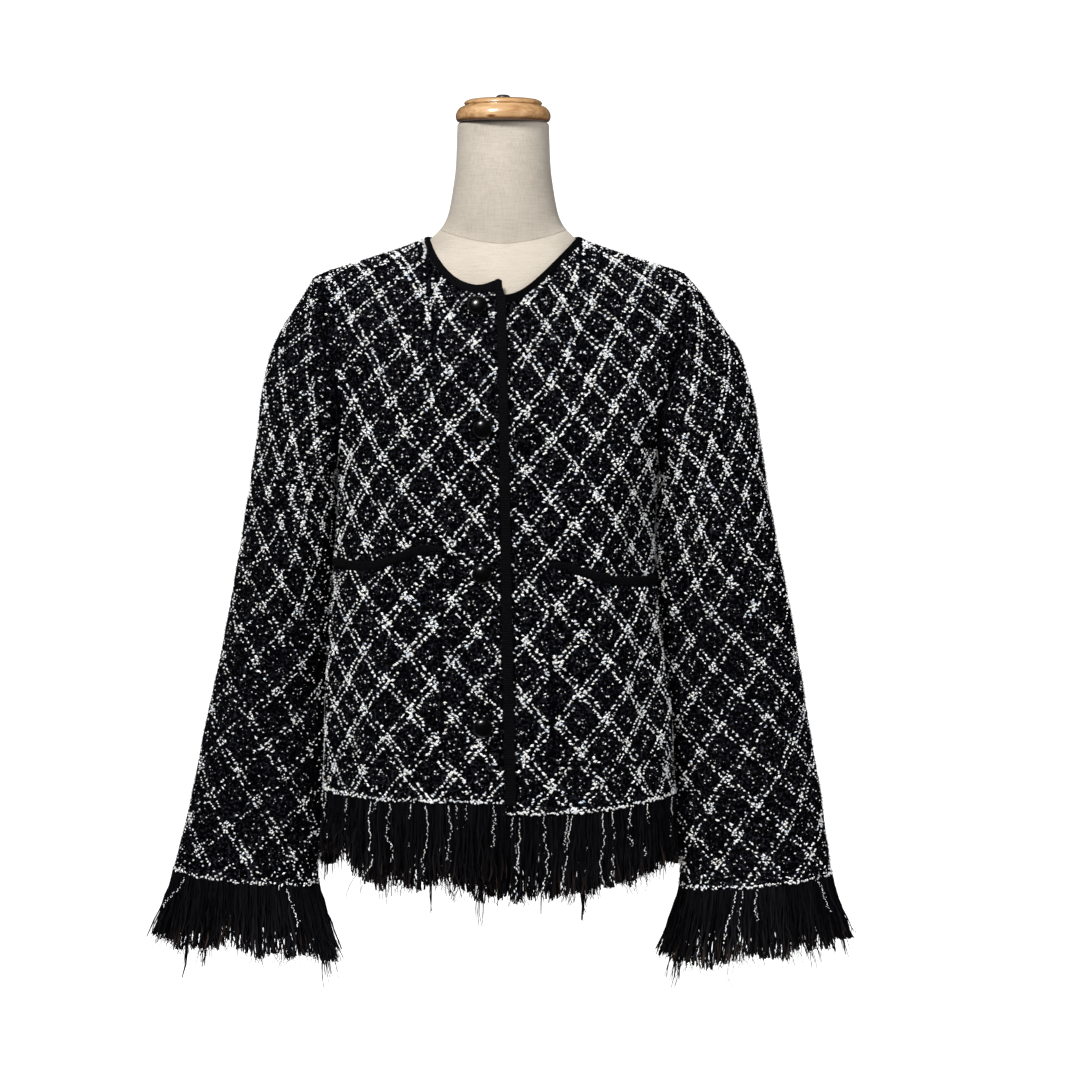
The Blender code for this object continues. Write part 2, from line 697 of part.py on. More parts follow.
# ---------------------------------------------------------------------- bindings
def make_front_binding(looks):
    """Ribbed tape down the right front's edge, a little prouder than the cloth."""
    proud = (BINDING_WALL - WALL) / 2
    first = columns_of(RIGHT_LINES, RIGHT, True)[0]
    last = first - TAPE_SEAM_SHARE
    columns = [0.0, last / 2, last]
    outer, normals = panel_grid(RIGHT, FRONT, columns, True, 0.0)
    for i, line in enumerate(outer):
        outer[i] = [p + n * proud for p, n in zip(line, normals[i])]
    outer[0] = [p + np.array(shift) for p, shift in zip(outer[0], CORNER_SHIFTS)]
    wall("front_binding", outer, inner_grid(outer, normals, BINDING_WALL), looks["binding"])


def neckline_run(side, face, lines, edge, grow, lapped=False):
    """Points and normals along a neckline, `grow` mm outside its inner edge.

    They stand opposite the panel's own grid lines, so that tape and panel stay parallel.
    """
    proud = (BINDING_WALL - WALL) / 2
    grown = (NECK_HALF_WIDTH + grow) / (NECK_HALF_WIDTH + NECK_BINDING_WIDTH)
    columns = columns_of(lines, side, edge)[: len(lines.to_neck)]
    line = []
    for column in columns:
        panel = panel_point(side, face, column, 0.0, edge, NECK_BINDING_WIDTH)
        across = side * panel[0]
        across *= grown if across > 0 else 1.0
        across += SEAM if edge and not lapped and column == columns[0] else 0.0
        on_ridge = column == columns[-1]
        height = neckline_height(side, face, across, grow)
        drop = 0.0 if on_ridge else drop_at_height(across, height)
        point, normal = cloth_at(side, face, across, drop)
        sunk = under_lap(side * point[0]) if lapped else 0.0
        line.append((point + normal * (proud - sunk), normal))
    return line


def make_neck_binding(looks):
    """One tape round the neckline, from the right front's edge to the left front's."""
    rows = []
    for grow in (0.0, 0.5 * NECK_BINDING_WIDTH, NECK_BINDING_WIDTH - SEAM):
        right_front = neckline_run(RIGHT, FRONT, RIGHT_LINES, True, grow)
        right_back = neckline_run(RIGHT, BACK, BACK_LINES, False, grow)
        left_back = neckline_run(LEFT, BACK, BACK_LINES, False, grow)
        left_front = neckline_run(LEFT, FRONT, LEFT_LINES, True, grow, lapped=True)
        rows.append(right_front + right_back[-2:0:-1] + left_back + left_front[-2::-1])
    outer = [[p for p, _ in row] for row in rows]
    normals = [[n for _, n in row] for row in rows]
    wall("neck_binding", outer, inner_grid(outer, normals, BINDING_WALL), looks["binding"])


# ----------------------------------------------------------------------- pockets
def mouth_height(pocket, across):
    low, high = pocket.bend_from, pocket.bend_to
    rise = pocket.rise * ease((low - across) / (low - high))
    return pocket.side_height + MOUTH_BINDING_HEIGHT / 2 + rise


def on_column(outer, normals, j, height):
    """The panel's point and normal at a height, on the straight runs of column j."""
    for i in range(len(outer) - 1):
        top, low = outer[i][j], outer[i + 1][j]
        if top[2] >= height >= low[2]:
            t = (top[2] - height) / (top[2] - low[2])
            return top + (low - top) * t, unit(normals[i][j] * (1 - t) + normals[i + 1][j] * t)
    return None


def make_pocket(side, pocket, front, looks):
    """A patch and the bound edge of its mouth, both from the panel's own points."""
    outer, _, normals = front
    chosen = range(pocket.first, pocket.last + 1)
    patch, patch_normals, band, band_normals = [], [], [], []
    for r in range(POCKET_ROWS + 1):
        line, line_normals = [], []
        for j in chosen:
            near, _ = on_column(outer, normals, j, POCKET_MIDDLE)
            top = mouth_height(pocket, side * near[0]) - MOUTH_BINDING_HEIGHT - SEAM
            height = pocket.bottom + (top - pocket.bottom) * (1 - r / POCKET_ROWS)
            point, normal = on_column(outer, normals, j, height)
            line.append(point + normal * (LAID_ON + WALL))
            line_normals.append(normal)
        patch.append(line)
        patch_normals.append(line_normals)
    for r in range(3):
        line, line_normals = [], []
        for j in chosen:
            near, _ = on_column(outer, normals, j, POCKET_MIDDLE)
            height = mouth_height(pocket, side * near[0]) - MOUTH_BINDING_HEIGHT * r / 2
            point, normal = on_column(outer, normals, j, height)
            line.append(point + normal * (LAID_ON + BINDING_WALL + (0.5 if r == 1 else 0.1)))
            line_normals.append(normal)
        band.append(line)
        band_normals.append(line_normals)
    word = side_word(side)
    wall(f"pocket_{word}", patch, inner_grid(patch, patch_normals), looks["tweed"])
    band_inner = [
        [p - n * (BINDING_WALL + (0.5 if r == 1 else 0.1)) for p, n in zip(line, line_normals)]
        for r, (line, line_normals) in enumerate(zip(band, band_normals))
    ]
    wall(f"pocket_binding_{word}", band, band_inner, looks["binding"])


# ----------------------------------------------------------------------- buttons
def make_button(name, across, height, looks, segments=14):
    """A domed button, flat behind, square to the cloth it sits on."""
    drop = drop_at_height(across, height)
    for _ in range(30):
        miss = surface(RIGHT, FRONT, across, drop)[2] - height
        drop = min(max(drop + miss / FALL_PER_DROP, 0.0), 2.0)
    point, normal = cloth_at(RIGHT, FRONT, across, drop)
    aside = unit(np.cross(normal, [0, 0, 1]))
    up = np.cross(aside, normal)
    profile = [(0.86, 0.0), (1.0, 0.22), (0.95, 0.55), (0.76, 0.82), (0.42, 0.96)]
    corners, faces = [], []
    for radius, lift in profile:
        for k in range(segments):
            angle = 2 * math.pi * k / segments
            turned_out = aside * math.cos(angle) + up * math.sin(angle)
            out = LAID_ON + lift * BUTTON_THICKNESS
            corners.append(point + turned_out * radius * BUTTON_RADIUS + normal * out)
    corners.append(point + normal * (LAID_ON + BUTTON_THICKNESS))
    for i in range(len(profile) - 1):
        for k in range(segments):
            m = (k + 1) % segments
            low, high = i * segments, (i + 1) * segments
            faces.append((low + k, low + m, high + m, high + k))
    last = (len(profile) - 1) * segments
    faces += [(last + k, last + (k + 1) % segments, len(corners) - 1) for k in range(segments)]
    faces.append(tuple(range(segments))[::-1])
    new_mesh(name, corners, faces, looks["button"])


# ------------------------------------------------------------------------ fringe
def along(outer, inner, share, closed=False):
    """The points of a wall's edge, outside and inside, at a share of the way along it."""
    runs = [list(edge) + ([edge[0]] if closed else []) for edge in (outer, inner)]
    lengths = [np.linalg.norm(b - a) for a, b in zip(runs[0], runs[0][1:])]
    goal = share * sum(lengths)
    step = 0
    while step < len(lengths) - 1 and goal > lengths[step]:
        goal -= lengths[step]
        step += 1
    t = min(goal / lengths[step], 1.0)
    return [run[step] + (run[step + 1] - run[step]) * t for run in runs]


def make_fringe(name, outer_edge, inner_edge, count, length, spread, seed, looks, closed=False):
    """A strip under the cloth's edge with locks of yarn hanging from it, roots fused in it.

    The strip takes the edge's own points, its locks part from each other and taper to a
    tip. `spread` is how far a lock swings outward on its way down.
    """
    draw = random.Random(seed)
    down = np.array([0, 0, -1.0])
    cuts = []
    for k in range(count):
        cuts += [(k + (1 - LOCK_SHARE) / 2) / count, (k + (1 + LOCK_SHARE) / 2) / count]
    if not closed:
        cuts = [0.0] + cuts[1:-1] + [1.0]
    trim = (1 - FRINGE_WALL / WALL) / 2
    top_out, top_in, outs = [], [], []
    for share in cuts:
        out, back = along(outer_edge, inner_edge, share, closed)
        top_out.append(out + (back - out) * trim + down * SEAM)
        top_in.append(back + (out - back) * trim + down * SEAM)
        outward = (out - back) * np.array([1, 1, 0])
        outs.append(unit(outward))
    corners = top_out + top_in
    corners += [p + down * FRINGE_STRIP for p in top_out + top_in]
    n = len(cuts)
    faces = []
    spans = [(j, (j + 1) % n) for j in range(n if closed else n - 1)]
    for a, b in spans:
        faces += [(a, b, n + b, n + a), (b, a, 2 * n + a, 2 * n + b)]
        faces.append((n + a, n + b, 3 * n + b, 3 * n + a))
        if a % 2 == 1:  # between two locks
            faces.append((2 * n + b, 2 * n + a, 3 * n + a, 3 * n + b))
    if not closed:
        faces += [(0, n, 3 * n, 2 * n), (2 * n - 1, n - 1, 3 * n - 1, 4 * n - 1)]
    for a in range(0, n, 2):
        b = a + 1
        root = [2 * n + a, 2 * n + b, 3 * n + b, 3 * n + a]
        middle = sum(corners[r] for r in root) / 4
        aside = unit(corners[2 * n + b] - corners[2 * n + a])
        width = np.linalg.norm(corners[2 * n + b] - corners[2 * n + a])
        straggler = STRAGGLER_EXTRA if draw.random() < STRAGGLER_SHARE else 0.0
        long = (length - FRINGE_STRIP) * (1 + draw.uniform(-0.12, 0.12) + straggler)
        swing, lean = draw.uniform(-0.6, 0.6), draw.uniform(-2.2, 2.2)
        knee = middle + down * long * LOCK_KNEE + outs[a] * spread + aside * swing
        tip = middle + down * long + outs[a] * spread * 1.1 + aside * lean
        first = len(corners)
        for across, depth in ((-0.5, 0.5), (0.5, 0.5), (0.5, -0.5), (-0.5, -0.5)):
            side_step, out_step = aside * across * width, outs[a] * depth * FRINGE_WALL
            corners.append(knee + (side_step + out_step) * KNEE_SHARE)
        corners.append(tip)
        for k in range(4):
            m = (k + 1) % 4
            faces.append((root[k], root[m], first + m, first + k))
            faces.append((first + k, first + m, first + 4))
    new_mesh(name, corners, faces, looks["fringe"])


# -------------------------------------------------------------------- dress form
def form_point(side, face, column, drop):
    """The padded form under the cloth; its arm stumps are rounded off smooth."""
    half = look_up(FORM, "drop", "half", drop)
    depth = look_up(FORM, "drop", face_word(face), drop)
    turn = math.radians(min(90 * drop, 90.0))

    def place(across, turn):
        y = superellipse(across, half, depth) * math.sin(turn)
        near, far = FORM_NECK_ROOM_ENDS
        room = FORM_UNDER_RIDGE + FORM_NECK_ROOM * ease((far - across) / (far - near))
        z = ridge_height(across) - room - FORM_YOKE_DROP * (1 - math.cos(turn))
        return y, z

    across = half * column
    start = 0.0
    if across < FORM_NECK_HALF_WIDTH:
        neck = FORM_NECK_FRONT if face == FRONT else FORM_NECK_BACK
        seam = neck * math.sqrt(1 - (across / FORM_NECK_HALF_WIDTH) ** 2)
        start = math.asin(min(seam / superellipse(across, half, depth), 1.0))
    if drop <= 1:
        y, z = place(across, start + (math.pi / 2 - start) * drop)
    else:
        y, top = place(across, math.pi / 2)
        z = top + (FORM_BOTTOM - top) * (drop - 1)
    return np.array([side * across, face * y, z])


def form_skin():
    """The torso's side faces and the rows that end them at the bottom."""
    corners, faces, bottom = [], [], {}
    count = len(FORM_COLUMNS)
    for face in (FRONT, BACK):
        for side in (RIGHT, LEFT):
            first = len(corners)
            grid = [[form_point(side, face, c, d) for c in FORM_COLUMNS] for d in FORM_DROPS]
            corners += [p for line in grid for p in line]
            for i in range(len(FORM_DROPS) - 1):
                for j in range(count - 1):
                    a = first + i * count + j
                    faces.append((a, a + 1, a + count + 1, a + count))
            bottom[side, face] = grid[-1]
    return corners, faces, bottom


def make_torso(looks):
    """The torso's skin, closed by a flat bottom and by a fan inside the neck seam."""
    corners, faces, bottom = form_skin()
    faces += fan(corners, neck_seam(), NECK_FAN)
    ring = []
    for side, face, step in QUARTERS:
        ring += bottom[side, face][::step][:-1]
    faces += fan(corners, ring, (0.0, 0.0, FORM_BOTTOM))
    new_mesh("form_torso", corners, faces, looks["linen"])


def fan(corners, ring, middle):
    """Adds the ring and its middle point, and returns the faces between them."""
    first = len(corners)
    corners += list(ring) + [np.array(middle)]
    count = len(ring)
    return [(first + k, first + (k + 1) % count, first + count) for k in range(count)]


def neck_seam():
    """The seam round the neck's foot, from the wearer's left over the front."""
    columns = [c for c in FORM_COLUMNS if FORM[0].half * c <= FORM_NECK_HALF_WIDTH + 0.1]
    ring = []
    for side, face, step in QUARTERS:
        line = [form_point(side, face, c, 0.0) for c in columns]
        ring += line[::step][:-1]
    return ring


def make_neck(looks):
    """The neck stands on its seam and narrows to a flat top under the cap."""
    seam = [p + np.array([0, 0, SEAM]) for p in neck_seam()]
    corners = list(seam)
    for level in NECK:
        for point in seam:
            depth = level.front if point[1] < 0 else level.back
            full = FORM_NECK_FRONT if point[1] < 0 else FORM_NECK_BACK
            angle = math.atan2(point[1] / full, point[0] / FORM_NECK_HALF_WIDTH)
            x, y = level.half * math.cos(angle), depth * math.sin(angle)
            corners.append(np.array([x, y, level.height]))
    count = len(seam)
    faces = []
    for i in range(len(NECK)):
        for k in range(count):
            m = (k + 1) % count
            low, high = i * count, (i + 1) * count
            faces.append((low + k, low + m, high + m, high + k))
    faces += fan(corners, seam, np.array(NECK_FAN) + np.array([0, 0, SEAM]))
    faces.append(tuple(range(len(NECK) * count, (len(NECK) + 1) * count)))
    new_mesh("form_neck", corners, faces, looks["linen"])


# -------------------------------------------------------------------- everything
def main():
    for obj in list(bpy.data.objects):
        bpy.data.objects.remove(obj, do_unlink=True)
    looks = {
        "tweed": look("tweed", (0.030, 0.030, 0.038), 0.95),
        "binding": look("binding", (0.008, 0.008, 0.010), 0.80),
        "fringe": look("fringe", (0.012, 0.012, 0.016), 0.90),
        "button": look("button", (0.006, 0.006, 0.007), 0.12),
        "linen": look("linen", (0.68, 0.60, 0.50), 0.90),
        "wood": look("wood", (0.62, 0.33, 0.12), 0.25),
        "knob": look("knob", (0.03, 0.03, 0.035), 0.35),
        "stand": look("stand", (0.85, 0.85, 0.84), 0.35),
    }
    sleeves = {side: make_sleeve(side, looks) for side in (RIGHT, LEFT)}
    mitres = {
        (side, face): sleeves[side][2][face] for side in (RIGHT, LEFT) for face in (FRONT, BACK)
    }
    back_outer, back_inner = make_back(looks, mitres)
    fronts = {side: make_front(side, looks, mitres) for side in (RIGHT, LEFT)}
    make_front_binding(looks)
    make_neck_binding(looks)
    make_pocket(RIGHT, POCKET_RIGHT, fronts[RIGHT], looks)
    make_pocket(LEFT, POCKET_LEFT, fronts[LEFT], looks)
    for k, (across, height) in enumerate(zip(BUTTON_ACROSS, BUTTON_HEIGHTS)):
        make_button(f"button_{k + 1}", across, height, looks)
    for side in (RIGHT, LEFT):
        word = side_word(side)
        outer, inner, _ = fronts[side]
        make_fringe(
            f"hem_fringe_{word}", outer[-1], inner[-1], LOCKS[f"hem_{word}"], HEM_FRINGE_LENGTH,
            1.0, 11 + side, looks,
        )
        grid, inner_rings, _ = sleeves[side]
        make_fringe(
            f"cuff_fringe_{word}", grid[-1], inner_rings[-1], LOCKS["cuff"], CUFF_FRINGE_LENGTH,
            13.0, 21 + side, looks, closed=True,
        )
    make_fringe(
        "hem_fringe_back", back_outer[-1], back_inner[-1], LOCKS["hem_back"], HEM_FRINGE_LENGTH,
        1.0, 31, looks,
    )
    make_torso(looks)
    make_neck(looks)
    turned("neck_cap", CAP_PROFILE, looks["wood"], base=CAP_BOTTOM)
    knob_base = CAP_BOTTOM + CAP_PROFILE[-1][1] + SEAM
    turned("cap_knob", KNOB_PROFILE, looks["knob"], base=knob_base, segments=16)
    turned("stand_base", BASE_PROFILE, looks["stand"])
    pole_base = BASE_PROFILE[-1][1] + SEAM
    turned("stand_pole", POLE_PROFILE, looks["stand"], base=pole_base, segments=16)


main()
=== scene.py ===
# %% [markdown]
# # A cropped tweed jacket on a dress form
# The jacket is knitted in black bouclé with raised white nubs, bound with ribbed tape
# and fringed at the hem and cuffs. It stands buttoned on a linen-covered form with a
# turned wooden cap. Each cell says what a piece is on the real object, how it could be
# made and why it is made the way it is here. The CAD model is loaded first: it fixes
# the frame and the size, and every piece below stands in its place.

import math
from collections import namedtuple

import bmesh
import bpy
import numpy as np
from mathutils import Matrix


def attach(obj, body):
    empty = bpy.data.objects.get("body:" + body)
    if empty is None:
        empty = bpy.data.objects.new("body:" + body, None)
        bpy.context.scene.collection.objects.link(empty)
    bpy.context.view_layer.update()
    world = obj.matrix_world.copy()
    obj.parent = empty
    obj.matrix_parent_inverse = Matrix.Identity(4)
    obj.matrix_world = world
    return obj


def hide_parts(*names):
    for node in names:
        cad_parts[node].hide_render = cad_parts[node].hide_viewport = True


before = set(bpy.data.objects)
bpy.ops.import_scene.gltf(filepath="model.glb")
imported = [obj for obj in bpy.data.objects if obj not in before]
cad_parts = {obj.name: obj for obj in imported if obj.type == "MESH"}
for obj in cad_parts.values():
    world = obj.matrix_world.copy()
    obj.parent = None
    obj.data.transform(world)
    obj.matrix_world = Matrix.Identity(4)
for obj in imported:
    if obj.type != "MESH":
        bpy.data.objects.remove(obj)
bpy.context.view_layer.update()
MM = 0.001

# %% [markdown]
# ## The sizes
# A garment maker works from a table of measures, so the jacket's shape is held in short
# tables too: the shoulder line, the armhole, the body's sections and the sleeves' rings.
# They are the CAD model's own. "Drop" runs down the cloth: 0 is the shoulder ridge, 1 the
# underarm and 2 the hem. "Across" is the distance from the centre line, in millimetres.

# %% Measures of the jacket
RIGHT, LEFT = -1, 1  # the wearer's sides, as signs of X
FRONT, BACK = -1, 1  # as signs of Y
SIDES = {RIGHT: "right", LEFT: "left"}
FACES = {FRONT: "front", BACK: "back"}
WALL, TAPE_WALL = 2.6, 3.0  # thickness of the cloth and of the folded tape
SEAM, LAID_ON = 0.3, 0.4  # gaps between pieces sewn together, and laid on each other
ROUNDNESS, SLEEVE_ROUNDNESS = 2.3, 2.15  # powers of the superellipses; 2 is an oval
YOKE_DROP = 200.0  # height of the quarter turn from the underarm to the ridge
NECK_HALF_WIDTH, NECK_TAPE_WIDTH = 70.0, 5.7
UNDER_LAP, UNDER_LAP_ENDS = 3.4, (-3.5, 46.0)  # depth of the left front's lap, and its reach


def table(columns, *rows):
    """Rows of measures, with a name for each column."""
    row = namedtuple("Row", columns)
    return [row(*values) for values in rows]


RIDGE = table(
    "across height",
    (-35, 864.5), (0, 868.5), (35, 864.5), (70, 855), (90, 847.5), (107, 841.5),
    (125, 836), (144, 830), (160, 825), (171, 821), (190, 811),
)
ARMHOLE = table(
    "drop right_front left_front right_back left_back",
    (0.00, 171, 171, 171, 171), (0.22, 170, 172.5, 171, 172), (0.44, 166, 170, 168.5, 169.5),
    (0.67, 156, 157, 161.5, 158.5), (0.87, 152, 143.5, 154, 145.5), (1.00, 158, 148, 158, 148),
)
BODY = table(
    "drop right left front back",
    (0.00, 211, 208, 122, 110), (0.25, 211, 208, 122, 110), (0.45, 206, 202, 122, 110),
    (0.67, 185, 178, 122, 110), (0.87, 164, 154.5, 122, 110), (1.00, 158, 148, 121.8, 109.6),
    (1.25, 161, 144.5, 121, 108), (1.50, 166.5, 151, 122, 109), (1.75, 170, 159, 125, 114),
    (2.00, 172, 164.5, 129, 120),
)
HEM_FRONT, HEM_LEFT_SIDE, HEM_LEFT_DIP = 333.0, 330.0, 8.0
HEM_BACK, HEM_BACK_TILT, HEM_DIP_WIDTH = 331.5, 1.5, 165.0
FLARE_START = 1.2
FLARES = table(
    "side face across depth width",
    (RIGHT, FRONT, 118, 3.0, 26), (LEFT, FRONT, 84, 4.0, 30), (LEFT, FRONT, 140, -2.5, 20),
    (RIGHT, BACK, 70, 4.0, 34), (LEFT, BACK, 92, 4.5, 32), (RIGHT, BACK, 135, -3.0, 22),
)
NECKLINE = table(
    "across right_front left_front back",
    (0, 811, 801, 849), (12, 810, 803, 849.2), (25, 809, 810, 850), (40, 814, 823, 851.5),
    (52, 824, 835, 853.2), (62, 838, 845.5, 854.2), (70, 855, 855, 855),
)
EDGE = table("drop right left", (0, 2, 36), (0.6, 4, 38), (1, 6.5, 40), (1.6, 10, 42), (2, 13, 42))
print("shoulder ridge at", RIDGE[1].height, "mm, hem at", HEM_FRONT, "mm")

# %% [markdown]
# A sleeve is measured as rings from the shoulder to the cuff, each with an outer and an inner
# point and its depth before and behind them. It could be one bent tube, but its own rings keep
# its uneven taper.

# %% Measures of the sleeves
RING = "outer_x outer_z inner_x inner_z front back middle own"  # own: how oval it already is
SLEEVES = {
    RIGHT: table(
        RING,
        (180.5, 816.5, 163, 615, 68, 68, 1, 0.10), (190.5, 803, 164.5, 608, 69, 68, 1, 0.25),
        (200, 785, 165, 600, 69, 67, 1, 0.42), (211.5, 764, 165.5, 590, 68, 66, 1, 0.60),
        (221, 740, 166, 577, 67, 65, 0, 0.78), (228.5, 706, 166.5, 560, 65, 63, 0, 0.92),
        (233.5, 664, 167.5, 540, 62, 60, -1, 1), (241, 616, 169, 516, 59, 57, -2, 1),
        (250, 560, 170, 487, 56, 54, -3, 1), (261, 502, 172, 452, 53, 51, -4, 1),
        (272, 444, 174, 412, 51, 49, -5, 1), (284, 388, 175.5, 366, 49, 47, -6, 1),
        (296, 330, 176.5, 315, 48, 46, -6, 1), (306.5, 286, 177, 274, 48, 46, -6, 1),
        (315, 254, 176.5, 241, 49, 47, -6, 1),
    ),
    LEFT: table(
        RING,
        (177.5, 815.5, 153.5, 615, 68, 68, 1, 0.10), (187, 803, 154.5, 608, 69, 68, 1, 0.25),
        (197.5, 785, 155, 600, 69, 67, 1, 0.42), (210.5, 764, 155.5, 590, 68, 66, 1, 0.60),
        (224, 742, 156, 577, 67, 65, 0, 0.78), (235.5, 708, 156.5, 560, 65, 63, 0, 0.92),
        (243, 666, 157, 540, 62, 60, -1, 1), (251, 616, 158.5, 516, 59, 57, -2, 1),
        (261, 560, 160, 487, 56, 54, -3, 1), (272, 502, 162, 452, 54, 52, -4, 1),
        (282, 444, 165, 412, 53, 51, -5, 1), (291.5, 388, 167.5, 366, 52, 50, -6, 1),
        (301.5, 330, 168.5, 312, 52, 50, -6, 1), (308, 284, 168.5, 270, 52, 50, -6, 1),
        (313, 250, 167.5, 238, 53, 51, -6, 1),
    ),
}
TURNS = [0, 12, 24, 36, 48, 60, 70, 78, 83, 86.5, 89, 90]  # degrees of the yoke
BODY_DROPS = [1.09, 1.2, 1.32, 1.45, 1.58, 1.72, 1.86, 2.0]
TO_NECK = {
    "right": [0.125, 0.30, 0.47, 0.64, 0.82, 0.93, 0.98, 1.0],
    "left": [0.0, 0.19, 0.37, 0.52, 0.67, 0.83, 0.94, 0.985, 1.0],
    "back": [0.0, 0.34, 0.65, 0.84, 0.95, 1.0],
}
TO_SIDE = {
    "front": [0.14, 0.28, 0.42, 0.56, 0.69, 0.80, 0.893, 0.955, 0.987, 1.0],
    "back": [0.2, 0.4, 0.58, 0.73, 0.86, 0.946, 0.986, 1.0],
}
print("measures:", len(RIDGE + BODY + ARMHOLE), "body rows,", len(SLEEVES[RIGHT]), "rings a sleeve")

# %% [markdown]
# ## Smooth curves and the cloth's rule
# A pattern cutter joins measured points with a French curve. Here a cubic that passes
# through every row of a table does that. A body section is a superellipse, a little
# squarer than an oval, and above the underarm the cloth makes a quarter turn up to the
# shoulder ridge. The functions take whole arrays, so that a panel is worked out at once.


# %% Curves through the tables
def curve(known, values, at):
    """A smooth curve through the table's points, flat beyond its ends."""
    known, values = np.array(known, float), np.array(values, float)
    at = np.clip(at, known[0], known[-1])
    i = np.clip(np.searchsorted(known, at) - 1, 0, len(known) - 2)
    ends = np.diff(values) / np.diff(known)
    inner = (values[2:] - values[:-2]) / (known[2:] - known[:-2])
    slope = np.concatenate([ends[:1], inner, ends[-1:]])
    step = known[i + 1] - known[i]
    t = (at - known[i]) / step
    return (
        (2 * t**3 - 3 * t**2 + 1) * values[i]
        + (t**3 - 2 * t**2 + t) * step * slope[i]
        + (3 * t**2 - 2 * t**3) * values[i + 1]
        + (t**3 - t**2) * step * slope[i + 1]
    )


def look_up(rows, key, column, at):
    return curve([getattr(r, key) for r in rows], [getattr(r, column) for r in rows], at)


def ease(t):
    """Rises smoothly from 0 to 1 as t does."""
    t = np.clip(t, 0.0, 1.0)
    return t * t * (3 - 2 * t)


def bell(x, width):
    """A smooth hump round 0, almost gone at twice its width."""
    return np.exp(-((x / width) ** 2))


def unit(vectors):
    return vectors / np.linalg.norm(vectors, axis=-1, keepdims=True)


def steps(points, axis=0):
    """Distances between neighbours in a line or grid of points."""
    return np.linalg.norm(np.diff(points, axis=axis), axis=-1)


def running(points):
    """Distance along a line of points, from its first to each."""
    return np.concatenate([[0], np.cumsum(steps(points))])


print("ridge 80 mm across:", look_up(RIDGE, "across", "height", 80.0).round(1), "mm high")

# %% [markdown]
# Two numbers, across and drop, give any point on the cloth's outside. The hem's flares are
# laid over the plain section, and the left front is set back where the right one covers it.


# %% The body's surface
def ridge_height(across):
    return look_up(RIDGE, "across", "height", np.abs(across))


def hem_height(side, face, across):
    centre_share = np.maximum(0.0, 1 - (across / HEM_DIP_WIDTH) ** 2)
    if face == BACK:
        return HEM_BACK - side * HEM_BACK_TILT * (1 - centre_share)
    return HEM_FRONT + 0 * across if side == RIGHT else HEM_LEFT_SIDE - HEM_LEFT_DIP * centre_share


def under_lap(across):
    """How deep the left front lies here under the right one."""
    whole, gone = UNDER_LAP_ENDS
    return UNDER_LAP * (1 - ease((across - whole) / (gone - whole)))


def surface(side, face, across, drop):
    """Points of the cloth's outside, from arrays of across and drop."""
    across, drop = np.broadcast_arrays(np.array(across, float), np.array(drop, float))
    half = look_up(BODY, "drop", SIDES[side], drop)
    full = look_up(BODY, "drop", FACES[face], drop)
    inside = 1 - np.minimum(np.abs(across) / half, 1.0) ** ROUNDNESS
    depth = full * inside ** (1 / ROUNDNESS)
    angle = np.minimum(drop, 1.0) * math.pi / 2
    yoke_height = ridge_height(across) - YOKE_DROP * (1 - np.cos(angle))
    low = ease((drop - FLARE_START) / (2 - FLARE_START))
    flares = [f for f in FLARES if f.side == side and f.face == face]
    flare = sum(f.depth * bell(across - f.across, f.width) for f in flares)
    half_above = look_up(BODY, "drop", SIDES[side], np.array(1.0))
    top = ridge_height(across * half_above / half) - YOKE_DROP
    body_height = top + (hem_height(side, face, across) - top) * (drop - 1)
    on_yoke = drop <= 1
    y = depth * np.sin(angle) + np.where(on_yoke, 0.0, low * flare * np.sqrt(depth / BODY[0].front))
    z = np.where(on_yoke, yoke_height, body_height)
    return np.stack([side * across, face * y, z], -1)


def side_reach(side, face, drop):
    armhole = look_up(ARMHOLE, "drop", f"{SIDES[side]}_{FACES[face]}", drop)
    return np.where(drop <= 1, armhole, look_up(BODY, "drop", SIDES[side], drop))


print("underarm, right:", surface(RIGHT, FRONT, BODY[5].right, 1.0).round(1))

# %% [markdown]
# The neckline is measured as it is seen from the front. A panel's top edge is cut where the
# cloth crosses that line, so the rule is also turned round, from a height back to a drop.


# %% Neckline and free edges
def neckline_height(side, face, across, grow):
    """The neckline moved outward by `grow`, seen from the front."""
    column = "back" if face == BACK else f"{SIDES[side]}_front"
    wide = (NECK_HALF_WIDTH + grow) / NECK_HALF_WIDTH
    top = ridge_height(np.array(NECK_HALF_WIDTH))
    inner = look_up(NECKLINE, "across", column, np.maximum(across, 0.0) / wide)
    lowest = look_up(NECKLINE, "across", column, np.array(0.0))
    deeper = (top - lowest + grow) / (top - lowest)
    return ridge_height(np.array(NECK_HALF_WIDTH + grow)) - (top - inner) * deeper


def drop_at_height(across, height):
    cosine = 1 - (ridge_height(across) - height) / YOKE_DROP
    return np.arccos(np.clip(cosine, -1.0, 1.0)) * 2 / math.pi


def free_edge(side, drop, edge):
    """Across of a front's free edge, past the centre line; a back has none."""
    return -look_up(EDGE, "drop", SIDES[side], drop) if edge else 0.0 * drop


def neck_column(side, edge):
    """The share of the shoulder line at which the neckline meets it."""
    free = -float(free_edge(side, np.array(0.0), edge))
    shoulder = float(side_reach(side, FRONT, np.array(0.0)))
    return (NECK_HALF_WIDTH + NECK_TAPE_WIDTH + free) / (shoulder + free)


print("shoulder width:", 2 * ARMHOLE[0].right_front, "mm; chest:", BODY[5].right + BODY[5].left, "mm")
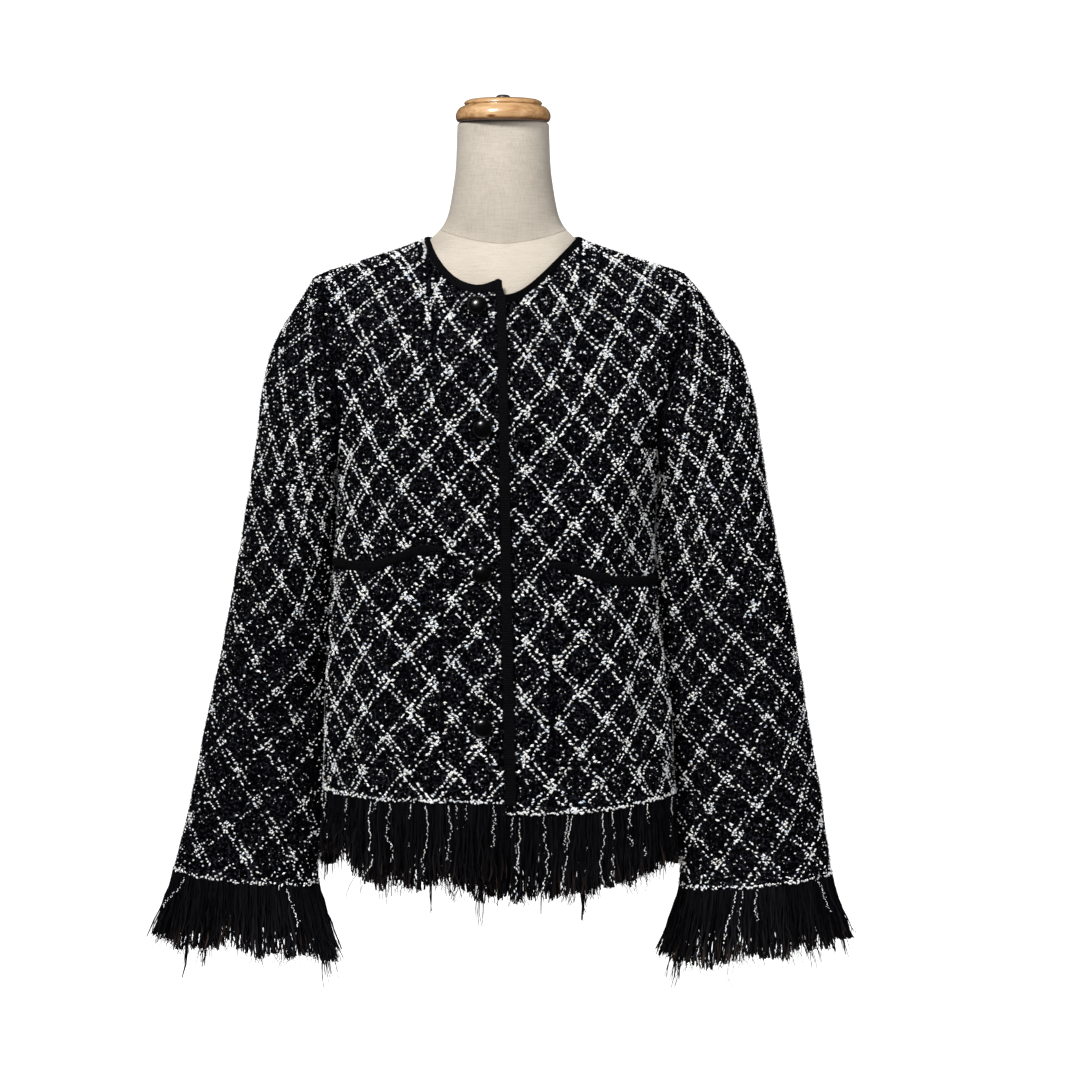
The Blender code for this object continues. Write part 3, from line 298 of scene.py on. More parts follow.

# %% [markdown]
# ## Folds
# Knitted bouclé is heavy and soft: it hangs in a few long, shallow folds and doesn't
# crease sharply. Cloth simulation could find them, but a tweed on a form barely moves,
# so the main ones are laid in one by one, each with its own length, depth and width, as
# ridges (positive) and troughs (negative). They also run where the camera doesn't look.

# %% Folds placed one by one
# x0, z0, x1, z1, depth, width. X runs to the wearer's left and Z up, in mm. Depth is outward.
BODY_FOLDS = {
    FRONT: [
        (-150, 640, -92, 470, -3.2, 15), (-136, 655, -60, 560, 2.4, 16), (-118, 560, -126, 352, 3.6, 17),
        (-88, 500, -96, 338, -2.6, 13), (-52, 690, -64, 600, -1.6, 14), (-40, 470, -44, 350, 1.8, 14),
        (-146, 470, -150, 340, -2.6, 11), (-20, 740, -60, 706, 1.2, 10), (138, 640, 86, 500, -3.4, 14),
        (126, 668, 62, 590, 2.2, 16), (84, 600, 88, 340, 3.4, 19), (112, 520, 118, 345, -3.0, 13),
        (48, 640, 44, 430, -1.8, 13), (30, 480, 34, 340, 1.8, 13), (138, 470, 146, 345, 2.4, 11),
        (70, 742, 112, 700, -1.4, 12), (-104, 760, -140, 690, -1.8, 14), (110, 770, 140, 700, -1.9, 13),
    ],
    BACK: [
        (-132, 650, -70, 520, -3.0, 16), (-70, 620, -74, 350, 3.4, 19), (-28, 560, -40, 340, -2.4, 15),
        (-120, 480, -128, 345, -2.8, 13), (20, 600, 26, 360, 2.2, 17), (64, 540, 62, 340, -2.6, 14),
        (126, 646, 84, 500, -3.0, 15), (96, 560, 100, 345, 3.2, 17), (-60, 790, 10, 768, -1.6, 13),
        (30, 800, 96, 774, 1.4, 14), (-110, 760, -130, 690, 1.8, 14), (104, 740, 122, 680, -1.6, 12),
        (0, 720, -8, 640, -1.4, 16),
    ],
}
# On a sleeve, shares of the way round from the top over the front, and of its length.
SLEEVE_FOLDS = {
    RIGHT: [
        (0.36, 0.14, 0.20, 0.33, -3.4, 13), (0.42, 0.22, 0.26, 0.44, 2.8, 14),
        (0.16, 0.26, 0.30, 0.40, 2.0, 13), (0.44, 0.40, 0.22, 0.52, -3.6, 13),
        (0.40, 0.52, 0.16, 0.60, 3.0, 14), (0.46, 0.58, 0.24, 0.70, -3.2, 12),
        (0.34, 0.70, 0.12, 0.78, 2.4, 13), (0.42, 0.76, 0.22, 0.88, -2.6, 12),
        (0.08, 0.40, 0.10, 0.66, -2.0, 13), (0.12, 0.76, 0.14, 0.97, 2.2, 12),
        (0.28, 0.84, 0.30, 0.99, 2.4, 13), (0.60, 0.16, 0.78, 0.36, -3.0, 14),
        (0.56, 0.36, 0.80, 0.48, 3.0, 14), (0.58, 0.50, 0.84, 0.60, -3.2, 13),
        (0.62, 0.66, 0.86, 0.74, 2.6, 13), (0.66, 0.80, 0.72, 0.98, -2.2, 12),
        (0.86, 0.62, 0.90, 0.90, 1.8, 13),
    ],
    LEFT: [
        (0.34, 0.12, 0.18, 0.30, -3.0, 13), (0.44, 0.24, 0.24, 0.38, 2.6, 14),
        (0.40, 0.36, 0.20, 0.50, -3.8, 14), (0.46, 0.46, 0.26, 0.58, 3.2, 13),
        (0.38, 0.60, 0.14, 0.68, -3.0, 13), (0.44, 0.68, 0.20, 0.80, 2.8, 13),
        (0.36, 0.84, 0.24, 0.96, -2.4, 12), (0.10, 0.34, 0.08, 0.58, 2.0, 14),
        (0.06, 0.66, 0.12, 0.88, -2.2, 12), (0.18, 0.86, 0.16, 0.99, 2.6, 12),
        (0.60, 0.18, 0.80, 0.34, -2.8, 14), (0.58, 0.38, 0.76, 0.54, 2.8, 13),
        (0.62, 0.56, 0.86, 0.66, -3.4, 13), (0.60, 0.72, 0.82, 0.84, 2.4, 12),
        (0.70, 0.86, 0.74, 0.99, -2.0, 12), (0.90, 0.44, 0.88, 0.72, -1.8, 13),
    ],
}
FOLD_TAPER = 0.34  # share of a fold's length over which each end dies away
FOLD_BOW = 0.06  # how far its middle bows aside, as a share of its length


def fold_depth(x, z, folds):
    """How far the folds lift the cloth at points of a flat map, in mm."""
    lift = np.zeros(np.shape(x))
    for x0, z0, x1, z1, depth, width in folds:
        run = np.array([x1 - x0, z1 - z0], float)
        length = np.linalg.norm(run)
        along = ((x - x0) * run[0] + (z - z0) * run[1]) / length
        aside = ((x - x0) * -run[1] + (z - z0) * run[0]) / length
        bow = FOLD_BOW * length * np.sin(math.pi * np.clip(along / length, 0, 1))
        taper = FOLD_TAPER * length
        lift += depth * (ease(along / taper) * ease((length - along) / taper)) * bell(aside - bow, width)
    return lift


def ripple(x, z):
    """The cloth's own unevenness: long, shallow waves under half a millimetre."""
    return 0.28 * np.sin(x / 17 + 1.3 * np.sin(z / 41)) + 0.24 * np.sin(z / 23 + 1.1 * np.sin(x / 29 + 2))


for place, folds in (("body", BODY_FOLDS), ("sleeve", SLEEVE_FOLDS)):
    print(place, "folds:", [len(f) for f in folds.values()])

# %% [markdown]
# ## Panels as grids
# Each cut panel becomes a grid of points with normals and a flat map in millimetres, its
# cloth coordinates. The yarn, the nubs and the ribs are all laid out on that map, so they
# follow the cloth as a knitted pattern does. Edges that meet a seam are drawn in a little,
# as the stitching draws them in, which gives the seams their shadow lines.

# %% Grids and their maps
Cloth = namedtuple("Cloth", "points normals s t")  # s runs round the body, t up from the hem
PITCH, DROP_PITCH = 4.4, 0.0165  # between grid lines, about: mm round the body, and drop


def refined(values, pitch_share):
    """A list of grid lines with more between them, close enough for the pitch."""
    lines = [values[0]]
    for a, b in zip(values, values[1:]):
        count = max(1, math.ceil((b - a) / pitch_share))
        lines += [a + (b - a) * k / count for k in range(1, count + 1)]
    return np.array(lines)


def normals_of(points, closed=False):
    """Normals of a grid of points, rows first; a closed grid runs round a tube."""
    if closed:
        wide = np.concatenate([points[:, -1:], points, points[:, :1]], 1)
        on = (wide[:, 2:] - wide[:, :-2]) / 2
    else:
        on = np.gradient(points, axis=1)
    return unit(np.cross(on, np.gradient(points, axis=0)))


def flat_map(points, start_column):
    """Distance round along each row from a column, and up from the last row."""
    s = np.concatenate([np.zeros((len(points), 1)), np.cumsum(steps(points, 1), 1)], 1)
    s -= s[:, start_column][:, None]
    t = np.concatenate([np.zeros((1, points.shape[1])), np.cumsum(steps(points)[::-1], 0)], 0)[::-1]
    return s, t


PANEL_DROPS = refined([t / 90 for t in TURNS] + BODY_DROPS, DROP_PITCH)
print("grid rows of a body panel:", len(PANEL_DROPS))

# %% [markdown]
# A panel's columns run from its free edge or the centre to its side, and its rows from the
# shoulder to the hem. Columns that are evenly spaced at the waist keep the knit unstretched.


# %% Rows and columns of a panel
NECK_TRIES = 12  # rounds of the search for the neckline


def panel_points(side, face, columns, drops, edge, grow):
    """A half panel's points: columns run from the free edge or centre (0) to the side (1)."""
    column, drop = np.meshgrid(columns, drops)

    def across_at(drop):
        free = free_edge(side, drop, edge)
        return free + (side_reach(side, face, drop) - free) * column

    start = np.zeros_like(column)
    on_neck = column < neck_column(side, edge) - 1e-6
    for _ in range(NECK_TRIES):
        across = across_at(start)
        found = drop_at_height(across, neckline_height(side, face, across, grow))
        start = np.where(on_neck, found, 0.0)
    drop = np.where(drop <= 1, start + (1 - start) * drop, drop)
    return surface(side, face, across_at(drop), drop)


def neck_columns(side, face, edge):
    """Grid lines from the free edge or centre to the neck point."""
    neck = neck_column(side, edge)
    return [neck * share for share in TO_NECK[SIDES[side] if face == FRONT else "back"]]


def panel_columns(side, face, edge):
    neck = neck_column(side, edge)
    return neck_columns(side, face, edge) + [neck + (1 - neck) * share for share in TO_SIDE[FACES[face]]]


WAIST_DROP = 1.3


def even_columns(side, face, edge):
    """Columns of a half panel, an even distance apart round the body at the waist."""
    first = panel_columns(side, face, edge)[0]
    fine = 1 - np.linspace(1, 0, 4000) ** 3 * (1 - first)
    run = running(panel_points(side, face, fine, np.array([WAIST_DROP]), edge, NECK_TAPE_WIDTH)[0])
    even = np.interp(np.linspace(0, run[-1], round(run[-1] / PITCH) + 1), run, fine)
    near_neck = neck_column(side, edge)  # one grid line starts exactly at the neck point
    even[np.abs(even - near_neck).argmin()] = near_neck
    return even


print("grid columns of the right front:", len(even_columns(RIGHT, FRONT, True)))

# %% [markdown]
# Folds are laid on along a panel's normals and die away toward seams and taped edges, where
# stitching holds the cloth flat. Panels that are sewn together keep a hair's gap between them.


# %% Body panels
def facing_out(points, closed=False):
    """Normals of a grid turned away from the middle of each of its rows."""
    normals = normals_of(points, closed)
    middle = points.mean(1, keepdims=True) if closed else np.array([0.0, 0.0, 0.0])
    outward = ((points - middle) * normals * [1, 1, 0]).sum(-1)
    return normals if np.median(outward) > 0 else -normals


CALM_SIDE, CALM_TOP, CALM_EDGE = 22, 30, 20  # mm from a seam or edge over which folds grow
SEAM_DIP, SIDE_DIP_WIDTH, TOP_DIP_WIDTH = 0.35, 3.2, 3.0  # mm by which stitching draws the cloth in
RIDGE_BAND = 1.2  # mm from the shoulder ridge within which the top edge belongs to its seam
LEFT_MAP_START = 40  # mm from the left front's free edge to where its map starts
TAPED, LAPPED = 2, 44  # mm from the right and left free edges that stay flat, under tape or lap


def half_panel(side, face, edge):
    """A half panel with its folds and drawn-in seams."""
    columns = even_columns(side, face, edge)
    points = panel_points(side, face, columns, PANEL_DROPS, edge, NECK_TAPE_WIDTH)
    normals = facing_out(points)
    x, z = points[..., 0], points[..., 2]
    s, t = flat_map(points, 0)
    if edge and side == LEFT:
        points = points - normals * under_lap(side * x)[..., None]
    to_side, top_gap = s[:, -1:] - s, t[:1] - t
    free = ease(to_side / CALM_SIDE) * ease(top_gap / CALM_TOP)
    if edge:
        free = free * ease((s - (TAPED if side == RIGHT else LAPPED)) / CALM_EDGE)
    lift = fold_depth(x, z, BODY_FOLDS[face]) + ripple(x, z)
    seam = -SEAM_DIP * bell(to_side, SIDE_DIP_WIDTH) - SEAM_DIP * bell(top_gap, TOP_DIP_WIDTH)
    return open_seams(points + normals * (lift * free + seam)[..., None], side, face)


def open_seams(points, side, face):
    """Moves the edges that meet other panels back by half a seam."""
    points[PANEL_DROPS <= 1 + 1e-9, -1] -= np.array([side * SEAM / 2, 0, 0])
    points[PANEL_DROPS >= 1 - 1e-9, -1] += np.array([0, face * SEAM / 2, 0])
    ridge = np.abs(points[0, :, 1]) < RIDGE_BAND
    points[0, ridge] += np.array([0, face * SEAM / 2, 0])
    return points


def front_cloth(side):
    points = half_panel(side, FRONT, True)
    s, t = flat_map(points, 0)
    start = 0 if side == RIGHT else LEFT_MAP_START
    return Cloth(points, facing_out(points), side * (s - start), t)


def back_cloth():
    right, left = (half_panel(side, BACK, False) for side in (RIGHT, LEFT))
    points = np.concatenate([right[:, :0:-1], left], 1)
    return Cloth(points, facing_out(points), *flat_map(points, right.shape[1] - 1))


panels = {"front_right": front_cloth(RIGHT), "front_left": front_cloth(LEFT), "back": back_cloth()}


def report(name):
    cloth = panels[name]
    size = f"{np.ptp(cloth.s):.0f} mm wide, {cloth.t.max():.0f} mm long"
    print(f"{name}: grid {cloth.points.shape[:2]}, {size}")


for name in panels:
    report(name)

# %% [markdown]
# ## Sleeves
# A set-in sleeve is one tube: it starts as the armhole's own shape and turns into an oval
# on its way down. It could be lofted from a few ovals, but then it wouldn't meet the
# armhole. Here each ring blends from the seam's shape, as it does in the CAD model.

# %% Sleeve grids
MARKS = 2 * (len(TURNS) - 1)  # places round the armhole, down the front and up the back


def armhole_loop(side, places):
    """The armhole's seam at fractional places of its marks."""
    count = MARKS // 2
    marks = np.where(places <= count, places, MARKS - places)
    drop = curve(range(count + 1), np.array(TURNS) / 90, marks)
    front = surface(side, FRONT, side_reach(side, FRONT, drop), drop)
    back = surface(side, BACK, side_reach(side, BACK, drop), drop)
    return np.where((places <= count)[:, None], front, back)


def ring_points(side, ring, loop, angles, seam_top, seam_bottom):
    """One ring of a sleeve: the armhole's own shape, fading into an oval."""
    outer = np.array([ring.outer_x, ring.outer_z])
    inner = np.array([ring.inner_x, ring.inner_z])
    centre, half = (outer + inner) / 2, (inner - outer) / 2
    seam_half = (seam_bottom - seam_top) / 2
    seam_across = np.array([-seam_half[1], seam_half[0]]) / np.linalg.norm(seam_half)
    across = np.array([-half[1], half[0]]) / np.linalg.norm(half)
    flat = np.stack([side * loop[:, 0], loop[:, 2]], -1) - (seam_top + seam_bottom) / 2
    along = flat @ seam_half / (seam_half @ seam_half)
    stray = flat @ seam_across
    power = 2 / SLEEVE_ROUNDNESS
    own_along = -np.sign(np.cos(angles)) * np.abs(np.cos(angles)) ** power
    own_depth = np.sign(np.sin(angles)) * np.abs(np.sin(angles)) ** power
    widest = np.where(own_depth > 0, -loop[:, 1].min(), loop[:, 1].max())
    depth = -loop[:, 1] / widest
    along = along + (own_along - along) * ring.own
    depth = depth + (own_depth - depth) * ring.own
    place = centre + half * along[:, None] + across * (stray * (1 - ring.own) ** 2)[:, None]
    y = ring.middle * ring.own - depth * np.where(depth > 0, ring.front, ring.back)
    return np.stack([side * place[:, 0], y, place[:, 1]], -1)


SLEEVE_COLUMNS, SLEEVE_ROWS = 100, 132


def sleeve_points(side):
    """A sleeve's grid without folds, from the underarm over the back and front to it again."""
    places = np.linspace(-MARKS / 2, MARKS / 2, SLEEVE_COLUMNS + 1)
    loop = armhole_loop(side, places % MARKS)
    ends = armhole_loop(side, np.array([0.0, MARKS / 2]))
    seam_top, seam_bottom = (np.array([side * e[0], e[2]]) for e in ends)
    angles = 2 * math.pi * places / MARKS
    known = [loop + np.array([side * SEAM * 0.2, 0, 0])]
    known += [ring_points(side, ring, loop, angles, seam_top, seam_bottom) for ring in SLEEVES[side]]
    known = np.array(known)
    at = np.concatenate([[0], np.cumsum(np.maximum(steps(known.mean(1)), 3.0))])
    wanted = np.linspace(0, at[-1], SLEEVE_ROWS)
    columns = [[curve(at, known[:, k, axis], wanted) for axis in range(3)] for k in range(len(places))]
    return np.ascontiguousarray(np.moveaxis(np.array(columns), 2, 0))


print("a sleeve's grid:", SLEEVE_ROWS, "x", SLEEVE_COLUMNS + 1)


# %% [markdown]
# ## Sleeves that rest on the body
# A hanging sleeve lies against the side of the body. So its inner side is first pressed in
# as far as the body's side, and after the folds are laid in, what would cut into the body
# is pushed out again.

# %% Sleeves against the body
SIDE_TOP = 622.0  # height of the underarm
PRESSED, TOUCH = 3.0, 0.5  # mm that a sleeve is pressed to the body, and left between them
INNER_WIDTH, INNER_END = 9.0, 24  # mm in from a sleeve's inner side that are pressed
PRESS_FADE = 26  # mm of height round the underarm over which the pressing sets in
PRESS_BOTTOM, PRESS_BOTTOM_FADE = 262, 20  # height down to which it goes, and mm over which it ends


def resting(side, points):
    """Moves a sleeve's inner side in until it almost touches the body's side."""
    points = points.copy()
    reach, heights = side * points[..., 0], points[..., 2]
    hem = HEM_FRONT if side == RIGHT else HEM_LEFT_SIDE
    drop = np.clip(2 - (heights - hem) / (SIDE_TOP - hem), 1.0, 2.0)
    body = look_up(BODY, "drop", SIDES[side], drop)
    inner = reach.min(1, keepdims=True)
    share = bell(reach - inner, INNER_WIDTH) * (reach < inner + INNER_END)
    room = np.maximum(inner - body + PRESSED, 0.0)
    fade = ease((SIDE_TOP + PRESS_FADE / 2 - heights) / PRESS_FADE)
    fade = fade * ease((heights - PRESS_BOTTOM) / PRESS_BOTTOM_FADE)
    points[..., 0] -= side * room * share * fade
    return points


SIDE_DEPTH = 75  # mm before and behind the middle in which a sleeve can meet the body
OUTLINE_PLACES, OUTLINE_FROM = 61, 80  # places on a side's outline, read from so far across
TOUCH_FADE = 15  # mm below the underarm over which the gap to the body opens
TUCK, TUCK_FADE = 2, 12  # mm that a sleeve may sink in just below the underarm, and over how many


def side_outline(side):
    """Rows of the body's reach to one side, below the underarm, at even places front to back."""
    front, back = panels[f"front_{SIDES[side]}"].points, panels["back"].points
    half = back.shape[1] // 2
    back = back[:, :half] if side == RIGHT else back[:, half:]
    places, reaches, heights = np.linspace(-SIDE_DEPTH, SIDE_DEPTH, OUTLINE_PLACES), [], []
    for row in range(PANEL_DROPS.searchsorted(1 - 1e-9), len(PANEL_DROPS)):
        line = np.concatenate([front[row], back[row]])
        line = line[side * line[:, 0] > OUTLINE_FROM]
        line = line[np.argsort(line[:, 1])]
        reaches.append(np.interp(places, line[:, 1], side * line[:, 0]))
        heights.append(line[np.abs(line[:, 1]).argmin(), 2])
    return places, np.array(reaches), np.array(heights)


def off_the_body(side, points):
    """Flattens a sleeve's inner side where it lies against the body's side."""
    points = points.copy()
    places, reaches, heights = side_outline(side)
    y, z = points[..., 1].ravel(), points[..., 2].ravel()
    across = np.array([np.interp(y, places, line) for line in reaches])
    level = np.interp(-z, -heights, np.arange(len(heights)))
    above = np.minimum(level.astype(int), len(heights) - 2)
    every = np.arange(len(y))
    body = across[above, every] + (across[above + 1, every] - across[above, every]) * (level - above)
    held = (z > heights[-1] - 4) & (z < SIDE_TOP) & (np.abs(y) < SIDE_DEPTH)
    tuck = TUCK * ease((z - SIDE_TOP + TUCK_FADE) / TUCK_FADE)
    least = body + TOUCH * ease((SIDE_TOP - z) / TOUCH_FADE) - tuck
    least = np.where(held, least, -1e3)
    reach = side * points[..., 0]
    points[..., 0] = side * np.maximum(reach, least.reshape(reach.shape))
    return points


print("right side reaches", side_outline(RIGHT)[1].max().round(1), "mm across")

# %% [markdown]
# The folds go on last, smaller toward the armhole and the underarm's seam. A soft swell
# stands below the armhole's seam, where the sleeve's fullness is eased in.


# %% Sleeves and their folds
SLEEVE_HEAD = {  # mm down from the shoulder, width and depth of soft swells over the arm's top
    RIGHT: ((22.0, 13.0, -3.2),),
    LEFT: ((11.0, 9.0, -2.2), (58.0, 14.0, 2.0)),
}


def tube_normals(points):
    """Normals of a tube whose last column repeats its first."""
    normals = facing_out(points[:, :-1], closed=True)
    return np.concatenate([normals, normals[:, :1]], 1)


UNDERARM_CALM, ARMHOLE_CALM = 20, 26  # mm from the underarm seam and the armhole over which folds grow
BODY_SIDE, BODY_SIDE_FADE = 172, 14  # mm across: nearer to the body than this, ridges stay low
RIDGE_LEFT = 0.25  # the share of a ridge's height that is left there
ARMHOLE_DIP, ARMHOLE_DIP_WIDTH = 0.4, 3.6  # mm by which the armhole's stitching draws the sleeve in
SWELL, SWELL_AT, SWELL_WIDTH = 0.7, 11, 8  # mm, the soft swell below that seam
HEAD_REACH = 0.12  # share of the way round that the swells over the arm's top reach


def sleeve_cloth(side):
    points = resting(side, sleeve_points(side))
    normals = tube_normals(points)
    rows, columns = points.shape[:2]
    girth, length = steps(points, 1).sum(1).mean(), steps(points.mean(1)).sum()
    round_share = np.linspace(-0.5, 0.5, columns) * np.ones((rows, 1))
    down = np.linspace(0, length, rows)[:, None] * np.ones((1, columns))
    lift = ripple(np.abs(round_share) * girth, down + 40 * side)
    for turn in (0, 1):  # the back's shares run from a half to one
        lift += fold_depth(round_share * girth, down, [
            ((x0 - turn) * girth, z0 * length, (x1 - turn) * girth, z1 * length, depth, width)
            for x0, z0, x1, z1, depth, width in SLEEVE_FOLDS[side]
        ])
    underarm = ease((0.5 - np.abs(round_share)) * girth / UNDERARM_CALM)  # the underarm seam stays smooth
    body_side = ease((np.abs(points[..., 0]) - BODY_SIDE) / BODY_SIDE_FADE)
    lift = np.where(lift > 0, lift * (RIDGE_LEFT + (1 - RIDGE_LEFT) * body_side), lift) * underarm
    seam = -ARMHOLE_DIP * bell(down, ARMHOLE_DIP_WIDTH) + SWELL * bell(down - SWELL_AT, SWELL_WIDTH)
    head = sum(depth * bell(down - at, width) for at, width, depth in SLEEVE_HEAD[side])
    head = head * bell(round_share, HEAD_REACH)
    lift = lift * ease(down / ARMHOLE_CALM) + seam + head
    points = off_the_body(side, points + normals * lift[..., None])
    return Cloth(points, tube_normals(points), *flat_map(points, columns // 2))


for side, word in SIDES.items():
    panels[f"sleeve_{word}"] = sleeve_cloth(side)
    report(f"sleeve_{word}")

# %% [markdown]
# ## Meshes
# Every piece of cloth is a thin closed wall between an outer and an inner grid, thinner
# where a seam presses it flat. A Solidify modifier would give a wall too, but not one that
# thins at the seams. The map in millimetres goes along as the piece's own UV layer.

# %% Making a mesh
SHARP_DEGREES = 50


def soften(mesh):
    mesh.shade_smooth()
    mesh.set_sharp_from_angle(angle=math.radians(SHARP_DEGREES))


def make_piece(name, corners, faces, material, maps=None, colours=None):
    """A mesh object from points in mm and an array of faces with equally many corners."""
    faces = np.asarray(faces, np.int32)
    count, size = faces.shape
    mesh = bpy.data.meshes.new(name)
    mesh.vertices.add(len(corners))
    mesh.vertices.foreach_set("co", (np.asarray(corners) * MM).astype(np.float32).ravel())
    mesh.loops.add(count * size)
    mesh.loops.foreach_set("vertex_index", faces.ravel())
    mesh.polygons.add(count)
    mesh.polygons.foreach_set("loop_start", np.arange(count, dtype=np.int32) * size)
    mesh.update(calc_edges=True)
    if maps is not None:
        layer = mesh.uv_layers.new(name="cloth")
        layer.data.foreach_set("uv", np.asarray(maps, np.float32).ravel())
    if colours is not None:
        layer = mesh.color_attributes.new(name="yarn", type="FLOAT_COLOR", domain="POINT")
        rgba = np.concatenate([colours, np.ones((len(colours), 1))], 1)
        layer.data.foreach_set("color", rgba.astype(np.float32).ravel())
    mesh.validate()
    soften(mesh)
    mesh.materials.append(material)
    piece = bpy.data.objects.new(name, mesh)
    bpy.context.collection.objects.link(piece)
    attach(piece, "root")
    return piece


pieces = {}


def keep(key, piece, node=None):
    """Files a piece under a short name and puts it in place of a CAD node."""
    pieces[key] = piece
    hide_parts(node or key)
    print(piece.name, triangles(piece), "triangles")


def triangles(piece):
    return sum(len(p.vertices) - 2 for p in piece.data.polygons)


def strip(*edges):
    """Four-cornered faces between four grids of corner numbers."""
    return np.stack([e.ravel() for e in edges], -1)


print("edges sharper than", SHARP_DEGREES, "degrees stay sharp")

# %% [markdown]
# A wall has an outer and an inner grid and closed rims. A loft runs through closed rings, and
# a turned piece is a loft of circles, as a lathe would leave it.


# %% Walls, lofts and lathe work
def wall_piece(name, cloth, look, thickness=WALL, closed=False):
    """A closed wall on a cloth grid; a closed one is a tube whose last column is its first."""
    rows, wide = cloth.points.shape[:2]
    columns = wide - 1 if closed else wide
    place = np.arange(rows * wide).reshape(rows, wide)
    inside = place + rows * wide
    faces = [
        strip(place[:-1, :-1], place[:-1, 1:], place[1:, 1:], place[1:, :-1]),
        strip(inside[1:, :-1], inside[1:, 1:], inside[:-1, 1:], inside[:-1, :-1]),
        strip(place[0, 1:], place[0, :-1], inside[0, :-1], inside[0, 1:]),
        strip(place[-1, :-1], place[-1, 1:], inside[-1, 1:], inside[-1, :-1]),
    ]
    if not closed:
        faces += [
            strip(place[:-1, 0], place[1:, 0], inside[1:, 0], inside[:-1, 0]),
            strip(place[1:, -1], place[:-1, -1], inside[:-1, -1], inside[1:, -1]),
        ]
    faces = np.concatenate(faces)
    if np.median((normals_of(cloth.points) * cloth.normals).sum(-1)) < 0:
        faces = faces[:, ::-1]
    thickness = np.broadcast_to(np.asarray(thickness, float), (rows, wide))[..., None]
    inner = cloth.points - cloth.normals * thickness
    number = (np.arange(rows)[:, None] * columns + np.arange(wide) % columns).ravel()
    number = np.concatenate([number, number + rows * columns])
    corners = np.concatenate([grid[:, :columns].reshape(-1, 3) for grid in (cloth.points, inner)])
    flat = np.stack([cloth.s, cloth.t], -1).reshape(-1, 2)
    maps = np.concatenate([flat, flat])[faces]
    return make_piece(name, corners, number[faces], looks[look], maps)


def lofted(name, rings, look):
    """A solid lofted through closed rings, with its ends closed and its poles welded."""
    rows, count = rings.shape[:2]
    place = np.arange(rows * count).reshape(rows, count)
    on = np.roll(place, -1, 1)
    quads = strip(place[:-1], on[:-1], on[1:], place[1:])
    piece = make_piece(name, rings.reshape(-1, 3), quads, looks[look])
    shape = bmesh.new()
    shape.from_mesh(piece.data)
    bmesh.ops.remove_doubles(shape, verts=shape.verts, dist=1e-6)
    bmesh.ops.holes_fill(shape, edges=[e for e in shape.edges if e.is_boundary], sides=0)
    bmesh.ops.recalc_face_normals(shape, faces=shape.faces)
    shape.to_mesh(piece.data)
    shape.free()
    soften(piece.data)
    return piece


def turned_piece(name, profile, look, segments, base, axis=(0.0, 0.0, 1.0)):
    """A lathe-turned solid from (radius, height) pairs, standing on a point along an axis."""
    radius, height = np.array(profile, float).T
    axis = unit(np.array(axis, float))
    other = unit(np.cross(axis, [1.0, 0, 0]))
    level = np.cross(other, axis)
    angle = np.arange(segments)[:, None] * 2 * math.pi / segments
    spoke = level * np.cos(angle) + other * np.sin(angle)
    rings = np.array(base, float) + radius[:, None, None] * spoke + height[:, None, None] * axis
    return lofted(name, rings, look)


# %% [markdown]
# ## Materials
# Black bouclé is never one flat black: loops of yarn catch a little light and the hollows
# between them swallow it. A picture of cloth would do that, but procedural nodes keep the
# scale true and follow the piece: ribs run on its own map, and yarn noise on its own axes.


